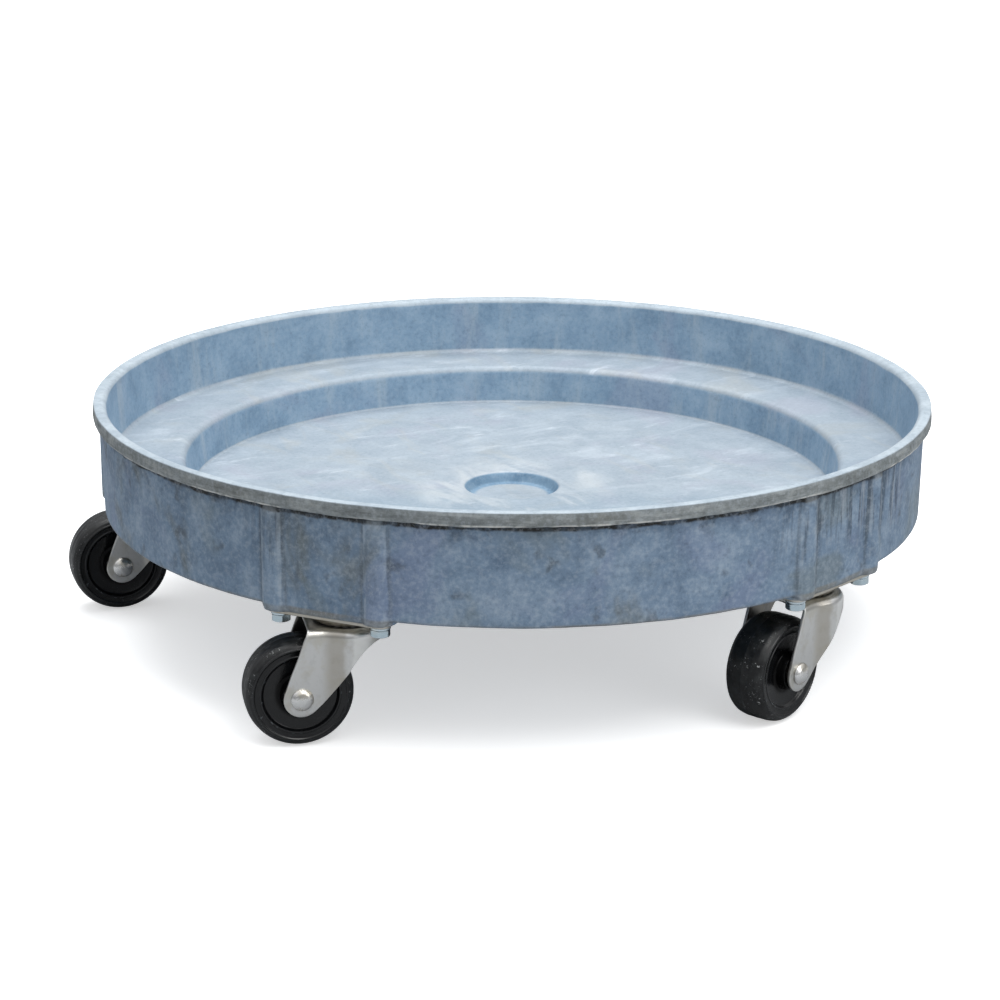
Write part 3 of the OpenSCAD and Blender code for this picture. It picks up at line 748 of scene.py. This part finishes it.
def build_pan():
    path, upper_rows = pan_path()
    n = 1080
    angles = circle(n)
    cosines, sines = np.cos(angles), np.sin(angles)
    radii = np.tile(np.array(path, float)[:, :1], n)
    heights = np.tile(np.array(path, float)[:, 1:], n)
    # rows before this one face outwards
    outward_rows = next(i for i, (_, z) in enumerate(path) if z > RIM_Z - 1.8)

    # reach of the bolt bosses that stand proud of the skirt
    boss = np.zeros(n)
    for angle in boss_angles:
        d = wrapped(angles - angle)
        s = BOSS_R ** 2 - (BOSS_D * np.sin(d)) ** 2
        hit = (s > 0) & (np.abs(d) < 0.2)
        reach = np.where(hit, BOSS_D * np.cos(d) + np.sqrt(np.maximum(s, 0)), 0)
        boss = np.maximum(boss, reach)
    # 1 at the five pads, where the skirt's edge drops to meet the caster plates
    pad = np.zeros(n)
    for k in CASTERS:
        d = wrapped(angles - kingpin_angle[k])
        aside = np.where(np.abs(d) < 0.5, np.abs(SKIRT_FOOT_R * np.sin(d)), 99)
        w = np.clip((48.4 - aside) / 2.6, 0, 1)
        pad = np.maximum(pad, w * w * (3 - 2 * w))

    for i in range(outward_rows):
        r, z = path[i]
        if r > SKIRT_FOOT_R - 3.5 and z < LIP_Z - 0.2:
            foot = clamp((z - SKIRT_Z) / 2.0)
            top = clamp((LIP_Z - 0.2 - z) / 3.0)
            target = boss - 0.9 * (1 - foot) ** 2 - 1.3 * (1 - top) ** 2
            radii[i] = smooth_max(target, radii[i], 1.3)
        if z < SKIRT_Z + 7:
            heights[i] -= pad * 3.0 * (SKIRT_Z + 7 - z) / 7
    for i in range(upper_rows):
        r, z = path[i]
        for j in range(n):
            v = (r * cosines[j] * MM, r * sines[j] * MM, z * MM)
            radial, upward = unevenness(i < outward_rows, r, z, v, pad[j])
            radii[i, j] += radial
            heights[i, j] += upward
    rings = [[(0, 0, z)] if r < 1e-6 else ring(radii[i], angles, heights[i])
             for i, (r, z) in enumerate(path)]
    return new_object("pan_casting", skin(rings, closed=True))


def rounded_block(xs, ys, zs, edge):
    """A block from (low, high) spans, with bevelled edges."""
    bm = bmesh.new()
    bmesh.ops.create_cube(bm, size=1.0)
    for v in bm.verts:
        v.co = Vector((xs[v.co.x > 0], ys[v.co.y > 0], zs[v.co.z > 0])) * MM
    # edges found exactly at the top height stay sharp
    edges = [e for e in bm.edges
             if not all(abs(v.co.z - zs[1] * MM) < 1e-9 for v in e.verts)]
    bmesh.ops.bevel(bm, geom=edges, offset=edge * MM, segments=3, profile=0.5, affect="EDGES")
    mesh = bpy.data.meshes.new("block")
    bm.to_mesh(mesh)
    bm.free()
    return link("block", mesh)


def union(base, others):
    for other in others:
        mod = base.modifiers.new("u", "BOOLEAN")
        mod.operation = "UNION"
        mod.object = other
        mod.solver = "MANIFOLD"
    bpy.context.view_layer.update()
    depsgraph = bpy.context.evaluated_depsgraph_get()
    mesh = bpy.data.meshes.new_from_object(base.evaluated_get(depsgraph))
    mesh.name = base.name
    base.modifiers.clear()
    base.data = mesh
    for other in others:
        bpy.data.objects.remove(other)
    return base


def pan_boss(sx, sy):
    """A boss over one bolt: larger on the outward side (sx = 1)."""
    r, top = (12.3, SKIRT_Z + 9) if sx > 0 else (6.2, SHELF_UNDER + 1)
    path = round_path([(0, PAD_Z, 0), (r, PAD_Z, 1.6), (r + 0.3, top, 0.5), (0, top, 0)], 4)
    boss = new_object("boss", turned(path, 64))
    boss.data.transform(Matrix.Translation((sx * HOLE_X * MM, sy * HOLE_Y * MM, 0)))
    return boss


def pan_extras():
    """Pads, bolt bosses and ribs under the pan."""
    made = []
    for k in CASTERS:
        pads = [rounded_block((-24, 27.4), (-47, 47), (PAD_Z, SHELF_UNDER + 1), 1.6),
                rounded_block((-31, -20), (-47, 47), (PAD_Z, FLOOR_UNDER + 1.5), 1.6)]
        pads += [pan_boss(sx, sy) for sy in (-1, 1) for sx in (1, -1)]
        for piece in pads:
            piece.data.transform(pad_matrix(k))
        made += pads
        for degrees in (24, 48):
            rib = rounded_block((255.5, SKIRT_FOOT_R - 3.5), (-3, 3),
                                (SKIRT_Z + 4, SHELF_UNDER + 1), 1.6)
            rib.data.transform(turn(kingpin_angle[k] + math.radians(degrees)))
            made.append(rib)
        rib = rounded_block((34.5, KINGPIN_R - 29.5), (-4, 4),
                            (SKIRT_Z - 2.6, FLOOR_UNDER + 1.8), 1.3)
        rib.data.transform(turn(kingpin_angle[k]))
        made.append(rib)
    return made


pan = build_pan()
extras = pan_extras()
pan = union(pan, [union(extras[0], extras[1:])])
pan.data.shade_smooth()
pan.data.set_sharp_from_angle(angle=math.radians(42))
pan.data.materials.clear()
pan.data.materials.append(CAST)
assign(pan, "pan", "drain_pan")


# ---------------------------------------------------------------- caster plate
def rounded_rectangle(angles, half_x, half_y, corner):
    """Distance from the centre to the outline at each angle, by bisection."""
    lo, hi = np.zeros_like(angles), np.full_like(angles, math.hypot(half_x, half_y) + 1)
    c, s = np.abs(np.cos(angles)), np.abs(np.sin(angles))
    for _ in range(40):
        mid = (lo + hi) / 2
        x, y = mid * c - (half_x - corner), mid * s - (half_y - corner)
        d = (np.hypot(np.maximum(x, 0), np.maximum(y, 0))
             + np.minimum(np.maximum(x, y), 0) - corner)
        hi = np.where(d > 0, mid, hi)
        lo = np.where(d > 0, lo, mid)
    return (lo + hi) / 2


def build_plate():
    """Rounded rectangle, long along Y, with a raised round middle and a centre hole."""
    hole_r, dish_r = 5.1, 28.3
    under_z, top_z = PAD_Z - PLATE_T, PAD_Z - 0.03
    dish_top = DISH_Z + PLATE_T
    angles = circle(240)
    # (r, z, corner radius), outwards along the underside and back over the top
    under = round_path([
        (hole_r, DISH_Z + 1.2, 0), (hole_r, DISH_Z, 0.5), (18.9, DISH_Z, 0.5),
        (19.7, DISH_Z - 2.6, 0.9), (22.6, DISH_Z - 2.6, 1.2), (26.9, under_z, 1.5),
        (dish_r, under_z, 0)])
    over = round_path([
        (dish_r, PAD_Z, 0), (25.9, PAD_Z, 1.5), (21.9, DISH_Z - 0.1, 1.0),
        (20.7, DISH_Z - 0.1, 0.8), (18.6, dish_top, 1.0), (hole_r, dish_top, 0.5),
        (hole_r, DISH_Z + 1.2, 0)])

    def outline(inset):
        return rounded_rectangle(angles, 60.3 / 2 - inset, 46.0 - inset, 6.0 - inset)

    spread = outline(0.0) - 0.55 - dish_r
    shares = (0.25, 0.5, 0.75, 0.92)
    quarter = [math.radians(a) for a in range(0, 91, 18)]
    rings = [ring(r, angles, z) for r, z in under]
    rings += [ring(dish_r + spread * w, angles, under_z) for w in shares]
    rings += [ring(outline(0.55 * (1 - math.sin(a))), angles,
                   under_z + 0.55 * (1 - math.cos(a))) for a in quarter]
    rings += [ring(outline(0.45 * (1 - math.cos(a))), angles,
                   top_z - 0.45 * (1 - math.sin(a))) for a in quarter]
    rings += [ring(dish_r + spread * w, angles, top_z) for w in shares[::-1]]
    rings += [ring(r, angles, min(z, top_z)) for r, z in over]
    return new_object("plate", skin(rings, closed=True))


at_casters("caster_top_plate", build_plate(), pad_matrix, "pan",
           "caster_plate_{}", PLATE_ZINC)


# ---------------------------------------------------------------- bolts and lock washers
def hexagon(angles, half_flats, soft=0.35):
    """A hexagon's radius at each angle, with slightly rounded corners."""
    d = (angles + math.pi / 6) % (math.pi / 3) - math.pi / 6
    sharp = half_flats / np.cos(d)
    limit = half_flats / math.cos(math.pi / 6) - soft
    h = np.clip(0.5 + 0.5 * (sharp - limit) / soft, 0, 1)
    return sharp * (1 - h) + limit * h - soft * h * (1 - h)


def hex_bolt():
    """Bolt with its head down, about Z."""
    seat = PAD_Z - PLATE_T - LOCK_WASHER_T - 0.02
    face_r, shank_r = 6.1, 3.93
    angles = circle(96)
    outline = hexagon(angles, half_flats=6.35)

    def chamfer(r):
        return seat - 5.18 + np.maximum(r - face_r, 0) * 0.58

    low, high = chamfer(outline) + 0.22, seat - 0.45
    chamfer_rs = [face_r + (outline - face_r) * w for w in (0.35, 0.7, 0.93)]
    rows = [(5.9 * w, seat - 5.3) for w in (0.3, 0.6, 0.85)]
    rows += [(5.9, seat - 5.27), (face_r, seat - 5.18)]
    rows += [(r, chamfer(r)) for r in chamfer_rs]
    rows += [(outline, low + (high - low) * w) for w in (0, 0.15, 0.5, 0.9)]
    rows += [(outline, high), (outline - 0.18, seat - 0.30), (6.0, seat - 0.30),
             (5.95, seat), (shank_r, seat), (shank_r, seat + 6.5)]
    rings = [ring(r, angles, z) for r, z in rows]
    return skin([[(0, 0, seat - 5.3)]] + rings + [[(0, 0, seat + 6.5)]])


def lock_washer():
    """A split washer: a squarish section swept almost once round."""
    z = PAD_Z - PLATE_T - LOCK_WASHER_T / 2
    corners = [(7.05, -0.96, 0), (7.05, 0.96, 0.35), (4.2, 0.96, 0.35), (4.2, -0.96, 0.35),
               (7.05, -0.96, 0.35), (7.05, 0.96, 0)]
    section = round_path(corners, 3)[1:-1]
    steps, m = 72, len(section)
    sweep = [math.radians(6 + 348 * i / steps) for i in range(steps + 1)]
    verts, faces = skin([[(r * math.cos(a), r * math.sin(a), z + h * 0.98)
                          for r, h in section] for a in sweep])
    return verts, faces + [tuple(range(m))[::-1], tuple(range(steps * m, len(verts)))]


def bolt_places(step):
    """A matrix at every bolt hole, each turned step degrees further than the last."""
    return [pad_matrix(k) @ Matrix.Translation((sx * HOLE_X * MM, sy * HOLE_Y * MM, 0))
            @ turn(math.radians((i * step) % 360))
            for i, (k, sx, sy) in enumerate(product(CASTERS, (-1, 1), (-1, 1)))]


for name, shape, step, node in (("plate_hex_bolts", hex_bolt(), 47, "plate_bolts"),
                                ("split_lock_washers", lock_washer(), 83, "lock_washers")):
    piece = on_pan(name, repeated(shape, bolt_places(step)), node, BOLT_ZINC)
    piece.data.set_sharp_from_angle(angle=math.radians(34))


# ---------------------------------------------------------------- fork
HALF_W = 24.0                    # half the width across the legs
BACK_R = 29.7                    # round back, about the kingpin
BEND = 6.0                       # radius of the bend from crown to sides
FRONT_X, CROWN_FRONT_X = 31, 28.8
END_R = 12.6                     # round leg ends, about the axle
HOLE_SHARE = 0.62                # part of the top edge's run that faces the crown's hole


def plan_curve():
    """Plan outline from the middle of the back to a leg: points, outward normals, run."""
    points, normals = [], []
    for a in np.linspace(0, math.acos(1 / BACK_R), 70):
        points.append((-BACK_R * math.cos(a), BACK_R * math.sin(a)))
        normals.append((-math.cos(a), math.sin(a)))
    narrowing = BACK_R - HALF_W
    for x in np.linspace(-1, 19.5, 60)[1:]:
        t = (x + 1) / 20.5
        slope = -narrowing * 6 * t * (1 - t) / 20.5
        w = math.hypot(slope, 1)
        points.append((x, HALF_W + narrowing * (1 - t * t * (3 - 2 * t))))
        normals.append((-slope / w, 1 / w))
    for x in (20, 24, 64):
        points.append((x, HALF_W))
        normals.append((0, 1))
    points = np.array(points)
    lengths = np.linalg.norm(np.diff(points, axis=0), axis=1)
    return points, np.array(normals), np.concatenate([[0], np.cumsum(lengths)])


PLAN, PLAN_NORMALS, PLAN_RUN = plan_curve()


def plan(s, inset=0.0):
    """Plan point s mm along the outline from the middle of the back, moved in by inset."""
    x, y = [np.interp(s, PLAN_RUN, PLAN[:, c])
            - inset * np.interp(s, PLAN_RUN, PLAN_NORMALS[:, c]) for c in (0, 1)]
    return float(x), (0.0 if s <= 0 else float(y))


def run_at(x):
    return float(np.interp(x, PLAN[:, 0], PLAN_RUN))


def leg_end(degrees):
    """(run, z) on the leg's round end."""
    a = math.radians(degrees)
    return run_at(TRAIL + END_R * math.cos(a)), AXLE_Z + END_R * math.sin(a)


def spline(points, n):
    """n + 1 points evenly along a Catmull-Rom curve."""
    knots = [np.array(p, float) for p in points]
    knots = [2 * knots[0] - knots[1]] + knots + [2 * knots[-1] - knots[-2]]
    fine = []
    for a, b, c, d in zip(knots, knots[1:], knots[2:], knots[3:]):
        for u in np.linspace(0, 1, 16, endpoint=False):
            fine.append(0.5 * (2 * b + (c - a) * u + (2 * a - 5 * b + 4 * c - d) * u * u
                               + (3 * b - a - 3 * c + d) * u ** 3))
    fine = np.array(fine + [knots[-2]])
    run = np.concatenate([[0], np.cumsum(np.linalg.norm(np.diff(fine, axis=0), axis=1))])
    even = np.linspace(0, run[-1], n + 1)
    return np.stack([np.interp(even, run, fine[:, 0]), np.interp(even, run, fine[:, 1])], 1)


# rear edge of the leg, downwards, as (x, z)
REAR_XZ = [
    (-28, 79.9), (-24, 79.4), (-19.2, 78), (-14.8, 76), (-10.2, 73), (-7.1, 70), (-4.6, 67),
    (-2.3, 64), (-0.2, 61), (1.6, 58), (3.6, 55), (5.8, 52), (11, 44.9), (18.6, 35.4)]
REAR_TOP_Z = 80.2
# front edge of the leg, below the bend, as (x, z)
FRONT_XZ = [(33.1, 75.8), (37.1, 64.9), (42.4, 51.9)]
COLUMNS = 44


def side_grid():
    """(run, z) over one side, blended between its four edges."""
    bend_z = CROWN_Z - BEND
    straight, curved = 2, 34
    rows = straight + curved
    drop = np.linspace(bend_z, REAR_TOP_Z, straight + 1)[:-1]
    rear_points = [(0, REAR_TOP_Z)] + [(run_at(x), z) for x, z in REAR_XZ] + [leg_end(221)]
    rear = np.concatenate([np.stack([np.zeros(straight), drop], 1),
                           spline(rear_points, curved)])
    front = spline([(run_at(FRONT_X), bend_z)] + [(run_at(x), z) for x, z in FRONT_XZ]
                   + [leg_end(21)], rows)
    top = np.stack([np.linspace(0, run_at(FRONT_X), COLUMNS + 1),
                    np.full(COLUMNS + 1, bend_z)], 1)
    bottom = np.array([leg_end(a) for a in np.linspace(221, 381, COLUMNS + 1)])
    a = (np.arange(COLUMNS + 1) / COLUMNS)[None, :, None]
    b = (np.arange(rows + 1) / rows)[:, None, None]
    corners = ((1 - a) * (1 - b) * top[0] + a * (1 - b) * top[-1]
               + (1 - a) * b * bottom[0] + a * b * bottom[-1])
    grid = (1 - b) * top + b * bottom + (1 - a) * rear[:, None] + a * front[:, None] - corners
    return grid, top[:, 0]


def pull(x, front):
    """Draws the crown's front in, so that its edge stands at front."""
    return x if x <= 18 else 18 + (x - 18) * (front - 18) / (FRONT_X - 18)


def fork_surfaces():
    """Outer and inner surface of the +Y half, and how many columns face the hole."""
    grid, run = side_grid()
    share = run / run[-1]
    hole_r, pitch_r, groove_r = 6.5, 16.0, 2.42
    groove_half = math.sqrt(groove_r ** 2 - (groove_r - GROOVE_D) ** 2)
    hole = []
    for w in share:
        if w < HOLE_SHARE:
            a = math.pi * (1 - w / HOLE_SHARE)
            hole.append((hole_r * math.cos(a), hole_r * math.sin(a)))
        else:
            part = (w - HOLE_SHARE) / (1 - HOLE_SHARE)
            hole.append((hole_r + (28.3 - hole_r) * part, 0.0))
    outer, inner = [], []
    # crown, from the hole outwards, with the ball groove pressed in
    crown_rows, bend_rows = 18, 7
    for j in range(crown_rows):
        u = j / crown_rows
        row = []
        for (hole_x, hole_y), s in zip(hole, run):
            edge_x, edge_y = plan(s, BEND)
            x = hole_x * (1 - u) + pull(edge_x, CROWN_FRONT_X) * u
            y = hole_y * (1 - u) + edge_y * u
            d = abs(math.hypot(x, y) - pitch_r)
            dip = 0.0
            if d < groove_half:
                dip = math.sqrt(max(0.0, groove_r ** 2 - d * d)) - (groove_r - GROOVE_D)
            row.append((x, y, dip))
        outer.append([(x, y, CROWN_Z - dip) for x, y, dip in row])
        inner.append([(x, y, CROWN_Z - FORK_T - dip * 0.25) for x, y, dip in row])
    for j in range(bend_rows):
        a = math.radians(90 * j / bend_rows)
        front = CROWN_FRONT_X + 2.2 * (1 - math.cos(a))
        for rows, skin_depth in ((outer, 0.0), (inner, FORK_T)):
            radius = BEND - skin_depth
            row = []
            for s in run:
                x, y = plan(s, skin_depth + radius * (1 - math.sin(a)))
                row.append((pull(x, front), y, CROWN_Z - BEND + radius * math.cos(a)))
            rows.append(row)
    for grid_row in grid:
        outer.append([(*plan(s), z) for s, z in grid_row])
        inner.append([(*plan(s, FORK_T), z) for s, z in grid_row])
    return np.array(outer, float), np.array(inner, float), int((share < HOLE_SHARE).sum())


def edge_rims(outer, inner, loop):
    """Rounded rims across the sheet's edge; loop holds (edge, neighbour) grid places."""
    last, end = outer.shape[0] - 1, COLUMNS
    rims = []
    for here, neighbour in loop:
        p = outer[here]
        across = inner[here] - p
        out = p - outer[neighbour]
        if here == (last, end):
            up, back = p - outer[last - 1, end], p - outer[last, end - 1]
            out = up / np.linalg.norm(up) + back / np.linalg.norm(back)
        out = out - across * (out @ across) / (across @ across)
        out = out / max(1e-9, np.linalg.norm(out))
        if abs(p[1]) < 1e-4:
            out[1] = 0.0
        rims.append([p + across * t + out * 0.42 * (1 - abs(2 * t - 1) ** 4.5)
                     for t in (0.0, 0.06, 0.2, 0.5, 0.8, 0.94, 1.0)])
    return rims


def build_fork():
    """Both halves of the sheet, welded along the plane y = 0."""
    outer, inner, hole_columns = fork_surfaces()
    last, end = outer.shape[0] - 1, COLUMNS
    hole_edge = [((0, i), (1, i)) for i in range(hole_columns, -1, -1)]
    leg_edge = [((last, i), (last - 1, i)) for i in range(end + 1)]
    leg_edge += [((j, end), (j, end - 1)) for j in range(last - 1, -1, -1)]
    verts, faces, index = [], [], {}

    def vertex(p, side):
        x, y, z = float(p[0]), float(p[1]) * side, float(p[2])
        y = 0.0 if abs(y) < 1e-4 else y
        key = (round(x, 4), round(y, 4), round(z, 4))
        if key not in index:
            index[key] = len(verts)
            verts.append((x, y, z))
        return index[key]

    def quad(points, side):
        corners = list(dict.fromkeys(vertex(p, side) for p in points))
        if len(corners) >= 3:
            faces.append(tuple(corners[::side]))

    for side in (1, -1):
        for j in range(last):
            for i in range(end):
                around = [(j, i), (j, i + 1), (j + 1, i + 1), (j + 1, i)]
                quad([outer[c] for c in around], side)
                quad([inner[c] for c in around[:1] + around[:0:-1]], side)
        for loop in (hole_edge, leg_edge):
            rims = edge_rims(outer, inner, loop)
            for a, b in zip(rims, rims[1:]):
                for t in range(6):
                    quad([a[t], a[t + 1], b[t + 1], b[t]], side)
    return new_object("fork", (verts, faces))


at_casters("caster_fork", build_fork(), swivel_matrix, "swivel_{}",
           "fork_{}", FORK_ZINC)

# ---------------------------------------------------------------- turned parts on the axle
# sections are (r, z, corner radius) along the axle
RIVET = [
    (0, -HALF_W - 4.4, 0), (2.9, -HALF_W - 4.2, 4.0), (5.3, -HALF_W - 3.5, 4.0),
    (7.0, -HALF_W - 2.3, 3.0), (7.8, -HALF_W - 1.3, 1.2), (7.9, -HALF_W - 0.75, 0.4),
    (7.45, -HALF_W - 0.03, 0.2), (3.95, -HALF_W - 0.03, 0), (3.95, HALF_W + 0.03, 0),
    (6.4, HALF_W + 0.03, 0.25), (6.45, HALF_W + 0.8, 0.6), (5.2, HALF_W + 2.0, 1.8),
    (3.0, HALF_W + 2.5, 2.0), (0, HALF_W + 2.6, 0)]
at_casters("axle_rivet_head", new_object("rivet", turned(round_path(RIVET, 6), 96)),
           axle_matrix, "swivel_{}", "axle_rivet_{}", RIVET_STEEL)

WHEEL_R = AXLE_Z
# the wheel's +Z half, from the bore outwards
HALF_WHEEL = [
    (8.6, 19.3, 0), (12.0, 19.3, 0.4), (12.6, 18.8, 0.6), (13.2, 15.4, 0.7),
    (13.9, 12.5, 0.9), (15.7, 11.8, 1.6), (WHEEL_R - 12.5, 12.5, 1.6),
    (WHEEL_R - 11.0, 15.0, 0.4), (WHEEL_R - 10.0, 15.15, 0.35), (WHEEL_R - 9.6, 14.75, 0.8),
    (WHEEL_R - 6.5, 15.3, 0.7), (WHEEL_R - 5.75, 16.0, 0.5), (WHEEL_R - 4.75, 15.95, 0.45),
    (WHEEL_R - 4.35, 15.35, 0.8), (WHEEL_R - 2.6, 14.3, 3), (WHEEL_R - 0.75, 11.4, 5),
    (WHEEL_R - 0.02, 7.0, 6), (WHEEL_R, 0.35, 0)]
half_wheel = round_path(HALF_WHEEL, 4)
ridge = [(WHEEL_R + 0.10, 0.12), (WHEEL_R + 0.10, -0.12)]
wheel_path = half_wheel + ridge + [(r, -z) for r, z in reversed(half_wheel)]
at_casters("caster_wheel", new_object("wheelmesh", turned(wheel_path, 256, closed=True)),
           axle_matrix, "roller_{}", "wheel_{}", RUBBER)

at_casters("wheel_bush_liner", new_object("bush", tube(8.55, 6.06, 39.4, edge=0.5)),
           axle_matrix, "roller_{}", "wheel_bush_{}", BUSH_NYLON)
at_casters("axle_spacer", new_object("sleeve", tube(6.0, 4.0, 43.1, edge=0.3)),
           axle_matrix, "swivel_{}", "spacer_sleeve_{}", RIVET_STEEL)
WASHER_Z = 21.6 - 0.85
washers = repeated(tube(10.5, 6.04, 1.5, edge=0.25),
                   [Matrix.Translation((0, 0, z * MM)) for z in (WASHER_Z, -WASHER_Z)])
at_casters("axle_thrust_washers", new_object("w1", washers),
           axle_matrix, "swivel_{}", "axle_washers_{}", WASHER_STEEL)

# ---------------------------------------------------------------- race, kingpins and balls
RACE = [
    (5.05, RACE_Z - 1, 0), (5.05, RACE_Z - 2, 0.2), (15.7, RACE_Z - 2, 1.0),
    (16.8, RACE_Z - 0.9, 0.8), (16.9, RACE_Z + 2.6, 0.35), (15.3, RACE_Z + 2.6, 0.35),
    (15.0, RACE_Z, 1.0), (5.05, RACE_Z, 0.2), (5.05, RACE_Z - 1, 0)]
race = new_object("race", turned(round_path(RACE, 4)[:-1], 96, closed=True))
at_casters("lower_ball_race", race, pad_matrix, "pan", "lower_race_{}", RACE_ZINC)

KINGPIN = [
    (0, RACE_Z - 4.9, 0), (3.8, RACE_Z - 4.75, 3), (6.9, RACE_Z - 3.8, 1.8),
    (7.8, RACE_Z - 2.6, 0.5), (7.8, RACE_Z - 2.05, 0.15), (5.0, RACE_Z - 2.05, 0),
    (5.0, DISH_Z + 2.53, 0), (9, DISH_Z + 2.53, 0.2), (9, PAD_Z - 1.1, 0.6),
    (8.2, PAD_Z - 0.5, 0.6), (0, PAD_Z - 0.4, 0)]
kingpins = repeated(turned(round_path(KINGPIN, 4), 72), [pad_matrix(k) for k in CASTERS])
on_pan("kingpin_rivet_set", kingpins, "kingpin_rivets", RACE_ZINC)

for k in CASTERS:
    for name in (f"upper_balls_{k}", f"lower_balls_{k}"):
        balls = frame["nodes"][name].data
        balls.materials.clear()
        balls.materials.append(BALL_STEEL)
        for polygon in balls.polygons:
            polygon.use_smooth = True


# ---------------------------------------------------------------- stage
def floor_material():
    """Bright to the camera, a quiet grey to other rays, and clear from below."""
    mat = new_graph("floor_pale")
    cloud = mat.noise(3.0, detail=3, rough=0.5)
    bright = mat.add("BsdfPrincipled", {
        "Base Color": mat.mix(cloud, (0.86, 0.865, 0.87), (0.88, 0.885, 0.89)),
        "Roughness": 0.80, "Specular IOR Level": 0.05,
        "Emission Color": (1.0, 1.0, 1.0), "Emission Strength": 0.52}).outputs[0]
    quiet = mat.add("BsdfDiffuse", {"Color": (0.40, 0.41, 0.42)}).outputs[0]
    seen = mat.add("LightPath").outputs["Is Camera Ray"]
    below = mat.add("NewGeometry").outputs["Backfacing"]
    clear = mat.add("BsdfTransparent").outputs[0]
    return mat.finish(mat.mix_shader(below, mat.mix_shader(seen, quiet, bright), clear))


FLOOR_HALF = 40.0
floor_mesh = bpy.data.meshes.new("floor")
floor_mesh.from_pydata([(sx * FLOOR_HALF, sy * FLOOR_HALF, 0)
                        for sx, sy in ((-1, -1), (1, -1), (1, 1), (-1, 1))], [], [(0, 1, 2, 3)])
floor = link("floor", floor_mesh)
floor_mesh.materials.append(floor_material())
floor.location.z = -0.0003


def studio_world():
    """White to the camera; to other rays a grey that brightens upwards."""
    world = bpy.data.worlds.new("studio")
    bpy.context.scene.world = world
    sky = Graph(world, "OutputWorld")
    up = sky.xyz(sky.coord["Generated"])[2]
    grey = sky.ramp(up, [(0.0, (0.20, 0.205, 0.215)), (0.22, (0.36, 0.37, 0.385)),
                         (0.75, (0.98, 0.99, 1.0))])
    lit = sky.add("Background", {"Color": grey, "Strength": 0.95}).outputs[0]
    white = sky.add("Background", {"Color": (1.0, 1.0, 1.0), "Strength": 1.0}).outputs[0]
    seen = sky.add("LightPath").outputs["Is Camera Ray"]
    sky.finish(sky.mix_shader(seen, lit, white))


studio_world()

VIEW_ANGLE = math.radians(-29.95)


def from_view(x, y, z):
    """From the camera's floor axes (x right, y away from it) to the scene's."""
    c, s = math.cos(VIEW_ANGLE), math.sin(VIEW_ANGLE)
    return Vector((c * x - s * y, s * x + c * y, z))


def area(name, at, to, size, power, colour=(1, 1, 1)):
    light = bpy.data.lights.new(name, "AREA")
    light.shape = "RECTANGLE"
    light.size, light.size_y = size
    light.energy = power
    light.color = colour
    lamp = link(name, light)
    lamp.location = at
    lamp.rotation_mode = "QUATERNION"
    lamp.rotation_quaternion = (Vector(to) - at).to_track_quat("-Z", "Y")


area("key", at=from_view(0.9, -1.2, 2.2), to=(0, 0, 0.1), size=(1.6, 1.1), power=22,
     colour=(1.0, 0.995, 0.98))
area("top", at=from_view(-0.2, 0.5, 2.3), to=(0, 0, 0.1), size=(2.2, 1.8), power=40,
     colour=(0.98, 0.99, 1.0))
area("fill", at=from_view(1.7, -1.5, 0.9), to=(0, 0, 0.08), size=(1.2, 0.9), power=7)


def add_camera():
    distance, above_rim = 2.03981736, 0.53977638     # metres
    pitch, yaw, roll = 0.29903, -0.00436, -0.00513   # radians; pitch is downwards
    data = bpy.data.cameras.new("camera")
    data.sensor_width = 36.0
    data.lens = 99.0
    data.clip_start, data.clip_end = 0.05, 200
    camera = link("camera", data)
    ahead = Vector((math.sin(yaw) * math.cos(pitch), math.cos(yaw) * math.cos(pitch),
                    -math.sin(pitch)))
    level = Vector((math.cos(yaw), -math.sin(yaw), 0))
    down = ahead.cross(level)
    right = math.cos(roll) * level + math.sin(roll) * down
    up = math.sin(roll) * level - math.cos(roll) * down
    axes = Matrix((from_view(*right), from_view(*up), from_view(*(-ahead)))).transposed()
    place = from_view(0, -distance, RIM_Z * MM + above_rim)
    camera.matrix_world = Matrix.Translation(place) @ axes.to_4x4()
    bpy.context.scene.camera = camera


add_camera()
view = bpy.context.scene.view_settings
view.view_transform = "Standard"
view.look = "None"
view.exposure = 0.0
